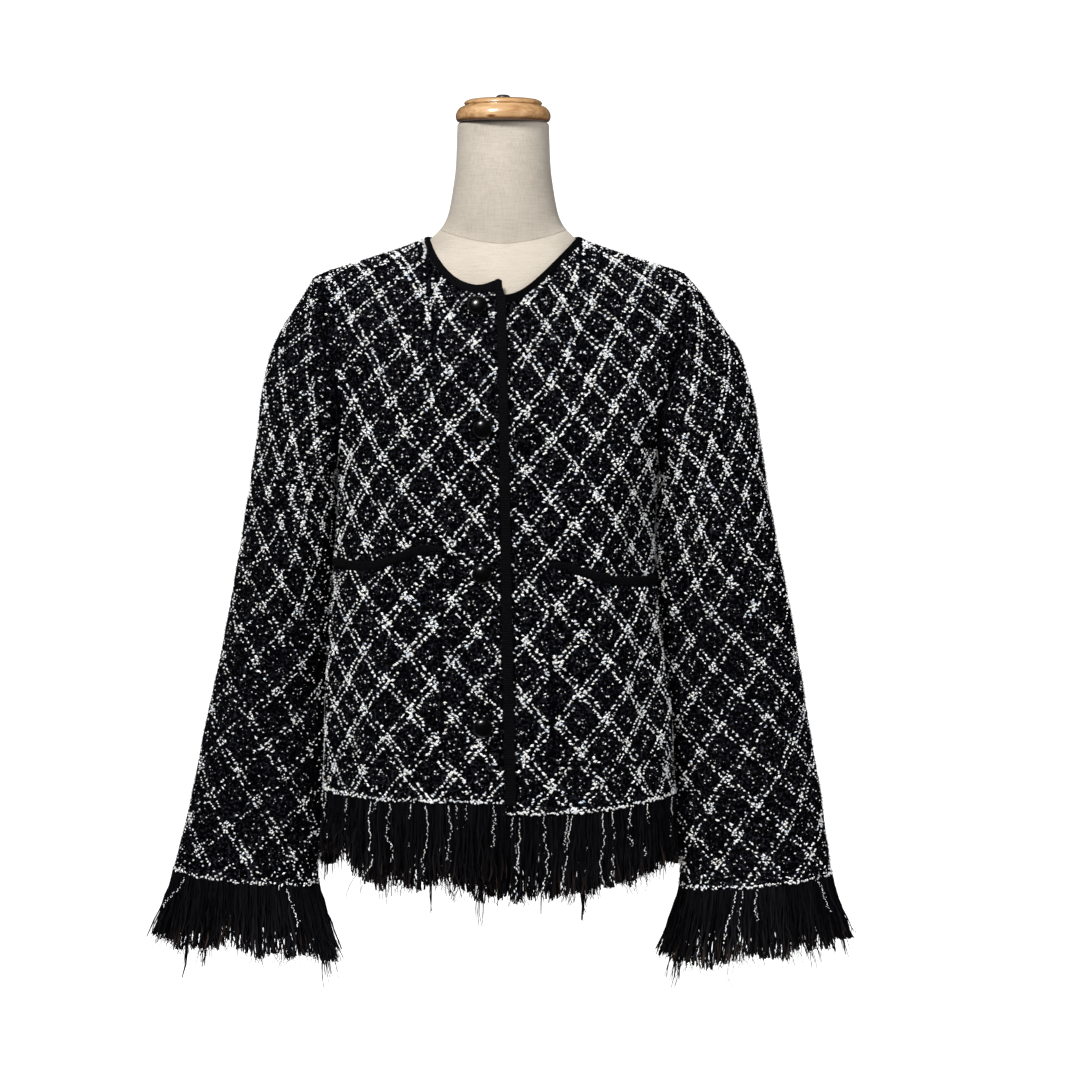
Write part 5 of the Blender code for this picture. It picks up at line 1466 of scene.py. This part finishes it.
def shows_on_front(name, points):
    """Which points of a front lie neither under its pocket nor under the other front."""
    patch = panels[name.replace("front", "pocket")].points
    x, top = points[:, 0], patch[0][np.argsort(patch[0, :, 0])]
    mouth = np.interp(x, top[:, 0], top[:, 2]) + MOUTH_TAPE_HEIGHT
    under = (x > patch[..., 0].min()) & (x < patch[..., 0].max())
    under &= (points[:, 2] < mouth) & (points[:, 2] > patch[..., 2].min())
    return ~under & ((x >= 1.0) | (name == "front_right"))


nub_pieces = {
    name: nubs_on(name, seed, *thinner)
    for name, seed, *thinner in (
        ("back", 41), ("front_right", 42), ("front_left", 43), ("sleeve_right", 44, 0.72, 0.86),
        ("sleeve_left", 45, 0.84, 0.92), ("pocket_right", 46), ("pocket_left", 47),
    )
}

# %% [markdown]
# ## Fringe
# The hem and cuffs aren't sewn: the knit is unravelled, so that thick and thin yarns hang
# loose, cling together in locks and fray at their ends. A hair system could grow them, but
# here each yarn is a thin three-sided tube of its own, kinked on its way down, so that it
# can be measured and exported. Some of them still carry white nubs.

# %% Making yarns
FRINGE_LEVELS = 9
LOCK_PITCH = 10.0  # mm along the hem from one lock to the next, about
CRIMP = 0.55  # mm that a yarn kinks aside at each of its levels
LOCK_LEAN, LOCK_OUT = 1.5, 1.1  # mm that a lock leans along the edge, and outward
CLING, CLING_STRAGGLER = 0.8, 0.58  # share of the way down at which yarns begin to cling together
GATHER, GATHER_STRAGGLER = (0.05, 0.6), 0.93  # share of the way that yarns move to their lock's middle
TURN_ON = 1.7  # radians by which each tube is turned against the one before
FringeKind = namedtuple("FringeKind", "per_mm length spread radius")
Root = namedtuple("Root", "point out along at")


def roots_on(draw, line, number, closed):
    """Places along a bottom edge from which yarns hang, a little inside the cloth."""
    run = running(line)
    at = np.sort(draw.uniform(0.4, run[-1] - 0.4, number))
    point, ahead, behind = (
        np.stack([np.interp(at + shift, run, line[:, k]) for k in range(3)], -1) for shift in (0, 1.5, -1.5)
    )
    along = unit(ahead - behind)
    out = unit(np.cross(along, [0, 0, 1.0]))
    middle = line[:, :2].mean(0) if closed else np.array([0.0, 0.0])
    out *= np.sign((out[:, :2] * (point[:, :2] - middle)).sum(-1))[:, None]
    return Root(point, out, along, at)


def lock_of(at):
    """The number of the lock that a yarn clings to."""
    lock = np.floor(at / LOCK_PITCH + 0.4 * np.sin(at / 17)).astype(int)
    return lock - min(lock.min(), 0)


def lock_middle(at):
    """Where along the edge the middle of each yarn's lock is."""
    lock = lock_of(at)
    return (np.bincount(lock, weights=at) / np.maximum(np.bincount(lock), 1))[lock]


def hang(draw, root, lengths, spread, gather, kink, levels, start=0.0):
    """Middle lines of yarns, one row of points each, gathered into locks toward their ends."""
    n, t = len(lengths), np.linspace(start, 1, levels)
    lock = lock_of(root.at)
    lean, outlean = (draw.normal(0, much, lock.max() + 1)[lock][:, None] for much in (LOCK_LEAN, LOCK_OUT))
    begin = np.where(gather >= GATHER_STRAGGLER, CLING_STRAGGLER, CLING)[:, None]
    aside = (lock_middle(root.at) - root.at)[:, None] * gather[:, None] * ease((t - begin) / 0.2)
    walk = np.cumsum(draw.normal(0, 1.0, (n, levels, 2)), 1)
    walk = (walk - walk[:, :1]) * (kink * ((t - start) / (1 - start)) ** 0.6)[:, None] / math.sqrt(levels)
    phase = draw.uniform(0, 2 * math.pi, (n, 1))
    wave = np.sin(draw.uniform(1.0, 3.4, (n, 1)) * 2 * math.pi * t + phase) - np.sin(phase)
    crimp = draw.normal(0, CRIMP, (n, levels, 2)) * np.minimum(t * 4, 1.0)[:, None]
    aside = aside + lean * t**1.4 + walk[..., 0] + 0.8 * wave * t**0.5 + crimp[..., 0]
    outward = spread[:, None] * t**1.15 + outlean * t**1.3 + walk[..., 1] + crimp[..., 1]
    down = np.array([0, 0, 1.0]) * (lengths[:, None] * t)[..., None]
    beside, before = root.along[:, None] * aside[..., None], root.out[:, None] * outward[..., None]
    return root.point[:, None] + beside + before - down


def tubes(name, middle, root, thick, colours):
    """Three-sided closed tubes round rows of points, as one mesh."""
    n, levels = middle.shape[:2]
    turn = (np.arange(n)[:, None, None] * TURN_ON + np.arange(3) * 2 * math.pi / 3)[..., None]
    ring = root.along[:, None, None] * np.cos(turn) + root.out[:, None, None] * np.sin(turn)
    corners = middle[:, :, None] + ring * thick[..., None, None]
    index = np.arange(n * levels * 3).reshape(n, levels, 3)
    on = np.roll(index, -1, 2)
    a, b, c, d = index[:, :-1], on[:, :-1], on[:, 1:], index[:, 1:]
    faces = np.concatenate([strip(a, b, c), strip(a, c, d), index[:, 0, ::-1], index[:, -1]])
    hand = np.cross(root.along, root.out)[:, 2]  # which way round each ring runs
    turned_in = np.repeat(hand > 0, levels * 3)[faces[:, 0]]
    faces[~turned_in] = faces[~turned_in][:, ::-1]
    colours = np.repeat(colours.reshape(-1, 3), 3, 0)
    made = make_piece(name, corners.reshape(-1, 3), faces, looks["fringe"], None, colours)
    print(name, n, "yarns,", triangles(made), "triangles")
    return made


print("a lock every", LOCK_PITCH, "mm,", FRINGE_LEVELS, "points to a yarn")


# %% [markdown]
# Thick yarns make the fringe nearly opaque, with an inner row of thick yarns behind them.
# Thinner frayed hairs hang among them, and about one lock in four has a few long wiry
# stragglers. Here and there a white slub yarn came loose whole, and its nubs hang down
# like beads.

# %% Sorts and lengths of yarn
HEM_FRINGE = FringeKind(2.1, 75.0, 1.0, 0.86)
CUFF_FRINGE = FringeKind(2.1, 69.0, 17.0, 0.86)
YARN_SORTS = table(
    "at_hem at_cuff thin kink start behind longer brown",
    (1.0, 1.0, 1.0, 2.9, 0.0, 0.0, 0.0, 0.45),  # the thick yarns
    (0.4, 0.4, 0.36, 5.5, 0.6, 0.0, 4.0, 1.0),  # frayed hairs, from 0.6 of the way down
    (0.45, 0.28, 1.5, 2.2, 0.0, 2.6, -3.9, 0.45),  # the inner row, 2.6 mm behind
)
HEM_SIDE_SHORTER, CUFF_OUTER_SHORTER = 18.0, 7.0  # mm, in front by the side seams, outside the arm
FRONT_LONGER = 3  # mm, in front in the middle
LOCK_RAGGED, YARN_RAGGED, LOCK_ROUNDED = 3.0, 1.6, 4.5  # mm by which locks and their yarns differ
WIRY_LOCKS, STRAGGLERS = 0.24, 0.26  # share of the locks, and of such a lock's yarns
STRAGGLERS_LONGER = (9, 32)  # mm


def yarn_lengths(draw, kind, root, seed, frontal):
    """Ragged lengths: slow waves along the edge, each lock's own, and each yarn's own."""
    n, lock = len(root.at), lock_of(root.at)
    waves = 3.4 * np.sin(root.at / 29 + seed) + 2.2 * np.sin(root.at / 12.3 + 2 * seed)
    own_lock = draw.normal(0, LOCK_RAGGED, lock.max() + 1)[lock]
    from_middle = root.at - lock_middle(root.at)
    rounded = LOCK_ROUNDED * np.minimum((from_middle / LOCK_PITCH * 2) ** 2, 1.4)  # outer yarns end higher
    long = kind.length + waves + own_lock - rounded - np.abs(draw.normal(0, YARN_RAGGED, n))
    reach = np.abs(root.point[:, 0])
    if frontal:
        long = long + FRONT_LONGER - HEM_SIDE_SHORTER * ease((reach - 108) / 50)
    elif kind is CUFF_FRINGE:
        long = long - CUFF_OUTER_SHORTER * ease((reach - 280) / 30)
    wiry = (draw.random(lock.max() + 1) < WIRY_LOCKS)[lock]
    further = draw.uniform(*STRAGGLERS_LONGER, lock.max() + 1)[lock]
    straggler = wiry & (draw.random(n) < STRAGGLERS)
    return long + straggler * further * draw.uniform(0.5, 1.0, n), straggler


print("fringe", HEM_FRINGE.length, "mm long at the hem,", CUFF_FRINGE.length, "mm at the cuffs")

# %% [markdown]
# Each sort of yarn is hung in one go: first where its yarns start, then their lengths, their
# way down, their thickness and how brown their tips are. A white slub yarn is a row of nubs.


# %% Black yarns and white ones
ROOT_DEPTH, ROOT_UP = (0.5, 2.2), 2.2  # mm, where yarns start in the cloth's wall
BROWN_SHARE = 0.2  # share of the yarns whose tips turn brown
BLACK_YARN = np.array([0.0030, 0.0030, 0.0039])
BROWN_TIP = np.array([0.070, 0.046, 0.032])


def fringe(name, panel, seed, white_at):
    """The yarns and white slub yarns below a panel's bottom edge."""
    draw = np.random.default_rng(seed)
    line, closed, frontal = panels[panel].points[-1], panel.startswith("sleeve"), panel.startswith("front")
    kind = CUFF_FRINGE if closed else HEM_FRINGE
    total = float(steps(line).sum())
    t = np.linspace(0, 1, FRINGE_LEVELS)
    parts = []
    for sort in YARN_SORTS:
        n = int(total * kind.per_mm * (sort.at_cuff if closed else sort.at_hem))
        root = roots_on(draw, line, n, closed)
        depth = draw.uniform(*ROOT_DEPTH, n) + sort.behind
        root = root._replace(point=root.point - root.out * depth[:, None] + np.array([0, 0, ROOT_UP]))
        lengths, straggler = yarn_lengths(draw, kind, root, seed, frontal)
        gather = np.where(straggler, GATHER_STRAGGLER, draw.uniform(*GATHER, n))
        spread = kind.spread * draw.uniform(0.65, 1.2, n)
        middle = hang(draw, root, lengths + sort.longer, spread, gather, sort.kink, FRINGE_LEVELS, sort.start)
        slim = np.where(straggler, 0.85, 1.0) * draw.uniform(0.7, 1.3, n) * kind.radius * sort.thin
        taper = 1 - np.where(straggler, 0.65, 0.30)[:, None] * t**4
        thick = slim[:, None] * taper * draw.uniform(0.75, 1.3, (n, FRINGE_LEVELS))
        brown = (draw.random(n) < BROWN_SHARE)[:, None] * ease((t - 0.6) / 0.4)
        brown = brown * draw.uniform(0.2, 0.9, (n, 1)) * sort.brown
        black = BLACK_YARN * draw.uniform(0.5, 1.7, (n, 1, 1))
        parts.append((middle, root, thick, black + (BROWN_TIP - BLACK_YARN) * brown[..., None]))
    middles, roots, thicks, colours = zip(*parts)
    middle, thick, colours = (np.concatenate(part) for part in (middles, thicks, colours))
    made = tubes(f"{name}_yarns", middle, joined(roots), thick, colours)
    return made, beads(f"{name}_white", draw, line, kind, closed, seed, white_at, frontal)


BEAD_LEVELS, BEAD_KINK, BEAD_CLING = 34, 6.0, 0.2
BEAD_SHARE = 0.88  # share of a slub yarn's places that carry a nub
BROKEN = 0.4  # share of the slub yarns that broke off short


def beads(name, draw, line, kind, closed, seed, white_at, frontal):
    """White slub yarns among the black ones: rows of nubs that hang in front of the fringe."""
    many = roots_on(draw, line, 4000, closed)
    picks = [int(np.abs(many.point[:, 0] - x).argmin()) for x in white_at]
    root = Root(*(v[picks] for v in many))
    root = root._replace(point=root.point + root.out * 0.9)
    n = len(picks)
    lengths = yarn_lengths(draw, kind, root, seed, frontal)[0]
    broken = draw.random(n) < BROKEN
    lengths = lengths * np.where(broken, draw.uniform(0.35, 0.75, n), draw.uniform(0.85, 1.05, n))
    spread, gather = np.full(n, kind.spread), np.full(n, BEAD_CLING)
    middle = hang(draw, root, lengths, spread, gather, BEAD_KINK, BEAD_LEVELS)
    along = unit(np.gradient(middle, axis=1))
    kept = (draw.random((n, BEAD_LEVELS)) < BEAD_SHARE) & (np.arange(BEAD_LEVELS) > 0)
    yarn = np.nonzero(kept)[0]
    outs = root.out[yarn]
    points = middle[kept] + draw.normal(0, 0.28, (len(yarn), 3))
    long = (lengths / BEAD_LEVELS)[yarn] * draw.uniform(0.8, 1.7, len(points))
    wide = draw.uniform(0.7, 1.4, len(points))
    shade = np.clip(draw.normal(0.88, 0.14, len(points)), 0.2, 1.0)
    return lumps(name, draw, points, outs, along[kept], long, wide, shade)


# %% [markdown]
# Every hem and cuff has random numbers of its own, so that no two fringes are alike. The
# white yarns hang at listed places.

# %% Hem and cuff fringes
FRINGES = {
    "front_right": "hem_fringe_right", "front_left": "hem_fringe_left", "back": "hem_fringe_back",
    "sleeve_right": "cuff_fringe_right", "sleeve_left": "cuff_fringe_left",
}
WHITE_YARNS = {  # where they hang, in mm from the centre line
    "front_right": (-170, -166, -144, -121, -117, -103, -84, -70, -49, -42, -33, -8),
    "front_left": (10, 16, 38, 60, 64, 92, 101, 118, 134, 158),
    "back": (-160, -128, -124, -101, -66, -30, 6, 10, 41, 70, 112, 118, 150),
    "sleeve_right": (-300, -262, -240, -205),
    "sleeve_left": (178, 209, 219, 225, 232, 238, 272, 296),
}
bead_pieces = {}
for seed, (panel, name) in enumerate(FRINGES.items(), 61):
    yarns, bead_pieces[panel] = fringe(name, panel, seed, WHITE_YARNS[panel])
    keep(name, yarns)

# %% [markdown]
# ## Buttons
# Four polished black domes, about 18 mm across, sewn to the right front down its tape. Each sits
# square to the cloth where it is sewn, so that no two catch the light quite alike.

# %% Buttons
BUTTONS = table("across height", (22.4, 789.0), (17.6, 677.0), (18.2, 544.0), (17.4, 403.5))
BUTTON_RADIUS, BUTTON_THICKNESS = 9.2, 7.6
DOME_FOOT = 2.0  # mm, height of its widest ring
dome = [
    (BUTTON_RADIUS * math.cos(a), DOME_FOOT + (BUTTON_THICKNESS - DOME_FOOT) * math.sin(a))
    for a in np.linspace(0, math.pi / 2, 16)[:-1]
]
button_profile = [(6.6, 0.0), (8.4, 0.4), (9.0, 1.1), *dome, (0.3, BUTTON_THICKNESS)]
for number, button in enumerate(BUTTONS, 1):
    point, normal = spot(panels["front_right"], -button.across, button.height)
    base, name = point + normal * LAID_ON, f"button_{number}"
    keep(name, turned_piece(f"{name}_dome", button_profile, "button", 48, base, normal))

# %% [markdown]
# ## Dress form
# A tailor's form is a moulded body without arms, padded and covered in linen. Its neck is
# a separate padded column with a seam round its foot. Under a jacket only the neck and the
# collar bones show, but the whole form is there, so the jacket has a body to hang on.

# %% The form's skin
FORM = table(
    "drop half front back",
    (0.00, 160, 111, 98), (0.30, 162.5, 111, 98), (0.65, 156, 111.5, 98), (1.00, 137, 110, 97),
    (1.20, 126, 103, 91), (1.40, 117, 95, 86), (1.60, 122, 97, 92), (1.80, 134, 103, 101),
    (2.00, 139, 105, 104),
)
FORM_UNDER_RIDGE, FORM_NECK_ROOM, FORM_NECK_ROOM_ENDS = 3.4, 1.8, (75.0, 100.0)
FORM_YOKE_DROP, FORM_BOTTOM = 198.0, 306.0
NECK_SEAM_HALF, NECK_SEAM = 60.0, {FRONT: 45.0, BACK: 41.0}
NECK_RISE, NECK_RISE_FRONT = 8.5, 0.8  # mm that the form sweeps up to the neck's sides and front
SWEEP_END, SWEEP_SIDE = 1.52, 0.36  # the sweep's reach in neck widths, and how much less at the sides


def form_points(side, face, column, drop):
    """The form's skin, from arrays of column (0 centre, 1 side) and drop."""
    half = look_up(FORM, "drop", "half", drop)
    across = half * column
    near, far = FORM_NECK_ROOM_ENDS
    room = FORM_UNDER_RIDGE + FORM_NECK_ROOM * ease((far - across) / (far - near))
    inside = 1 - np.minimum(across / half, 1.0) ** ROUNDNESS
    wide = look_up(FORM, "drop", FACES[face], drop) * inside ** (1 / ROUNDNESS)
    neck, neck_share = NECK_SEAM[face], across / NECK_SEAM_HALF
    seam = neck * np.sqrt(np.maximum(1 - neck_share**2, 0.0))
    start = np.arcsin(np.minimum(seam / np.maximum(wide, 1e-6), 1.0)) * (across < NECK_SEAM_HALF)
    turn = np.where(drop <= 1, start + (math.pi / 2 - start) * np.minimum(drop, 1.0), math.pi / 2)
    y = wide * np.sin(turn)
    z = ridge_height(across) - room - FORM_YOKE_DROP * (1 - np.cos(turn))
    out = np.sqrt(neck_share**2 + (y / neck) ** 2)
    sideways = np.minimum(neck_share, 1.0) / np.maximum(out, 1e-6)
    less = SWEEP_SIDE * sideways**2
    fade = ease((SWEEP_END - less - out) / (SWEEP_END - 1 - less))
    z = z + (NECK_RISE_FRONT + (NECK_RISE - NECK_RISE_FRONT) * sideways**1.3) * fade
    z = np.where(drop > 1, z + (FORM_BOTTOM - z) * (drop - 1), z)
    return np.stack([side * across, face * y, z], -1)


def quarter_rings(columns, drops):
    """Closed rings of the form's skin, from the wearer's left over the front."""
    column, drop = np.meshgrid(columns, drops)
    parts = []
    for side, face, way in ((LEFT, FRONT, 1), (LEFT, BACK, -1), (RIGHT, BACK, 1), (RIGHT, FRONT, -1)):
        parts.append(form_points(side, face, column, drop)[:, ::way][:, :-1])
    return np.concatenate(parts, 1)


print("chest of the form:", form_points(RIGHT, FRONT, 0.0, 1.0).round(1))

# %% [markdown]
# The torso is a loft down the form's skin, and the neck is a loft from its seam up to the
# cap. They could be sculpted, but a loft keeps to the measured sections.


# %% Torso and neck
NECK_TOP, NECK_EDGE = 962.3, 3.2  # mm, the edge's rounding under the cap
NECK = table(  # mm above the seam
    "above half front back",
    (0, 60, 45, 41), (3, 57.4, 45, 41.8), (7, 55, 45.2, 42.6), (12, 52.8, 45.5, 43.4),
    (19, 50.8, 45.8, 44.2), (34, 48, 46, 45), (56, 45, 44.6, 45), (80, 43.8, 41, 44), (116, 42.8, 36, 43),
)
FORM_ROUND, FORM_DOWN, NECK_RINGS = 42, 68, 48
NECK_EDGE_RINGS = (0.972, 0.979, 0.986, 0.992, 0.997, 1.0)  # shares of the neck's height


def drawn_in(rings, shares):
    """Ends a loft with rings drawn in toward its middle, so that its flat end isn't one fan."""
    middle = rings[-1].mean(0)
    extra = [middle + (rings[-1] - middle) * (1 - k) for k in shares]
    return np.concatenate([rings, np.array(extra)])


column_places = 1 - (1 - np.linspace(0, 1, FORM_ROUND)) ** 1.7
neck_share = NECK_SEAM_HALF / FORM[0].half
column_places[np.abs(column_places - neck_share).argmin()] = neck_share
yoke_drops, body_drops = (np.linspace(k, k + 1, FORM_DOWN // 2) for k in (0, 1))
form_drops = np.concatenate([yoke_drops**1.3, body_drops[1:]])
skin = drawn_in(quarter_rings(column_places, form_drops), (0.02, 0.06, 0.5))


def neck_rings():
    """Rings of the neck, from its seam on the form up to the cap."""
    columns = column_places[column_places <= neck_share + 1e-9]
    seam = quarter_rings(columns, np.array([0.0]))[0] + np.array([0, 0, SEAM])
    in_front = seam[:, 1] < 0
    deep = np.where(in_front, NECK_SEAM[FRONT], NECK_SEAM[BACK])
    angle = np.arctan2(seam[:, 1] / deep, seam[:, 0] / NECK_SEAM_HALF)
    tall = NECK_TOP - seam[:, 2]
    rings = []
    for share in (*(np.linspace(0, 1, NECK_RINGS) ** 1.4 * 0.965), *NECK_EDGE_RINGS):
        above = tall * share
        over = np.clip(1 - tall * (1 - share) / NECK_EDGE, 0, 1)
        turned_in = NECK_EDGE * (1 - np.sqrt(1 - over**2))
        half, front, back = (look_up(NECK, "above", k, above) - turned_in for k in ("half", "front", "back"))
        depth = np.where(in_front, front, back)
        rings.append(np.stack([half * np.cos(angle), depth * np.sin(angle), seam[:, 2] + above], -1))
    return np.array(rings)


for name, rings in (("form_torso", skin), ("form_neck", drawn_in(neck_rings(), (0.02, 0.3)))):
    keep(name, lofted(f"{name}_linen", rings, "linen"))

# %% [markdown]
# ## Cap, knob and stand
# The neck ends in a cap turned from one piece of wood, in two tiers with a groove between
# them, under a small dark knob. The form stands on a pole in a round weighted base, both
# enamelled white. All are lathe work, so each is a profile turned about an axis.

# %% Cap, knob and stand
CAP_BOTTOM = 962.3
CAP_PROFILE = [
    (0.5, 0), (40.5, 0), (41.5, 0.2), (43.2, 1), (44.2, 2.4), (44.7, 4.2), (44.8, 6), (44.5, 8),
    (43.7, 10), (42.3, 12.2), (40.4, 14), (38.2, 15.1), (36.6, 15.6), (35.9, 16), (35.8, 16.5),
    (36.4, 16.9), (36.8, 17.5), (36.7, 18.4), (35.9, 19.5), (34.2, 20.6), (31.5, 21.6), (27, 22.3),
    (20, 22.6), (10, 22.6), (0.5, 22.6),
]
KNOB_PROFILE = [
    (0.3, 0), (6, 0), (6.6, 0.15), (6.95, 0.6), (6.7, 1.3), (6.1, 2.1), (5, 2.8), (3.4, 3.2), (0.3, 3.35),
]
BASE_PROFILE = [
    (0.5, 0), (137, 0), (138.8, 0.6), (140, 2.2), (140.3, 5.5), (139.6, 9), (138, 11.6), (134, 13.4),
    (120, 14.2), (90, 15.4), (60, 17), (35, 18.8), (20, 20), (0.5, 20),
]
POLE_PROFILE = [
    (0.5, 0), (16.4, 0), (17, 0.8), (17, 8.5), (16, 11), (11, 13.2), (9.5, 15.5), (9.5, 264), (11.5, 268),
    (20.8, 272.8), (22, 274.6), (22, 284.8), (21.4, 285.4), (0.5, 285.4),
]
for name, profile, look, segments, base in (
    ("neck_cap", CAP_PROFILE, "wood", 96, CAP_BOTTOM),
    ("cap_knob", KNOB_PROFILE, "knob", 40, CAP_BOTTOM + CAP_PROFILE[-1][1] + SEAM),
    ("stand_base", BASE_PROFILE, "stand", 96, 0.0),
    ("stand_pole", POLE_PROFILE, "stand", 40, BASE_PROFILE[-1][1] + SEAM),
):
    keep(name, turned_piece(f"{name}_turned", profile, look, segments, (0, 0, base)))

# %% [markdown]
# ## Pieces that go with each panel
# Each panel's nubs are gathered in a list with its fringe, its white slub yarns and its tape,
# where it has them.


TAPES_ON = {
    "back": "neck_tape", "front_right": "front_tape",
    "pocket_right": "mouth_right", "pocket_left": "mouth_left",
}
for name, nubs in nub_pieces.items():
    extras = [nubs]
    if name in FRINGES:
        extras += [pieces[FRINGES[name]], bead_pieces[name]]
    if name in TAPES_ON:
        extras.append(pieces[TAPES_ON[name]])

# %% [markdown]
# ## Studio
# A garment shop lights its pictures softly and evenly against white. One large key light
# stands high at the front left, a weaker fill at the right. The floor and the sky are
# plain white, bright enough to lose the horizon.


# %% Light, floor and camera
def aim(thing, place, target):
    """Stands a lamp or camera at a place and turns it to a target."""
    bpy.context.collection.objects.link(thing)
    thing.location = place
    x, y, z = np.array(thing.location) - np.array(target)
    thing.rotation_euler = (math.atan2(math.hypot(x, y), z), 0, math.atan2(x, -y))


SKY_LIGHT, SKY_IN_POLISH, SKY_SEEN = 0.17, 0.03, 1.3
scene = bpy.context.scene
scene.view_settings.view_transform = "Standard"
scene.world = bpy.data.worlds.new("studio")
scene.world.use_nodes = True
nodes, links = scene.world.node_tree.nodes, scene.world.node_tree.links
background, path = nodes["Background"], nodes.new("ShaderNodeLightPath")
polish, seen = (nodes.new("ShaderNodeMapRange") for _ in range(2))
links.new(path.outputs["Is Glossy Ray"], polish.inputs["Value"])
polish.inputs["To Min"].default_value = SKY_LIGHT
polish.inputs["To Max"].default_value = SKY_IN_POLISH
links.new(path.outputs["Is Camera Ray"], seen.inputs["Value"])
links.new(polish.outputs["Result"], seen.inputs["To Min"])
seen.inputs["To Max"].default_value = SKY_SEEN
links.new(seen.outputs["Result"], background.inputs["Strength"])
background.inputs["Color"].default_value = (1, 1, 1, 1)


def lamp(name, place, target, watts, size=None, cone=None):
    """A square lamp of some size, or one with a narrow soft cone."""
    data = bpy.data.lights.new(name, "AREA" if size else "SPOT")
    data.energy = watts
    if size:
        data.size = size
    else:
        data.spot_size, data.spot_blend, data.shadow_soft_size = math.radians(cone), 0.8, 0.06
    made = bpy.data.objects.new(name, data)
    aim(made, place, target)
    return made


CHEST, FOOT = (0.0, 0.0, 0.62), (0.0, 0.0, 0.13)
lamp("key", (-0.85, -1.5, 2.6), CHEST, 84.0, size=0.6)
fill = lamp("fill", (1.9, -1.6, 1.5), CHEST, 39.0, size=2.2)
fill.visible_glossy = False  # the polished buttons mirror the key alone
lamp("pole_left", (-1.2, -0.9, 0.2), FOOT, 120.0, cone=14)  # for the pole alone
lamp("pole_right", (1.2, -0.9, 0.2), FOOT, 120.0, cone=14)

PAPER_RADIUS, PAPER_SEGMENTS = 1.1, 96
floor_mesh = bpy.data.meshes.new("floor")
turns = np.arange(PAPER_SEGMENTS) * 2 * math.pi / PAPER_SEGMENTS
corners = [(PAPER_RADIUS * math.cos(a), PAPER_RADIUS * math.sin(a), 0.0) for a in turns]
floor_mesh.from_pydata(corners, [], [tuple(range(PAPER_SEGMENTS))])
floor = bpy.data.objects.new("floor", floor_mesh)
bpy.context.collection.objects.link(floor)
paper = Look("white_paper", (0.85, 0.85, 0.85), 0.9, Specular_IOR_Level=0.1)
toward_back = paper.add("ShaderNodeSeparateXYZ", Vector=paper.object_coords).outputs["Y"]
behind = paper.maths("SUBTRACT", paper.times(toward_back, 6.0), 0.4)
glow = paper.ramp(behind, (0.0, 0.04, 0.04, 0.04), (1.0, 0.85, 0.85, 0.85))
paper.set(paper.shader, Emission_Color=glow, Emission_Strength=1.0)
floor_mesh.materials.append(paper.material)
floor.visible_glossy = False  # so that the black buttons stay black below

camera_data = bpy.data.cameras.new("camera")
camera_data.lens, camera_data.sensor_width = 112.5, 36.0
camera = bpy.data.objects.new("camera", camera_data)
aim(camera, (0.0347, -3.2, 0.7675), (0.0347, 0.0, 0.568))
scene.camera = camera
print("camera", [round(v, 3) for v in camera.location], "lens", camera_data.lens)
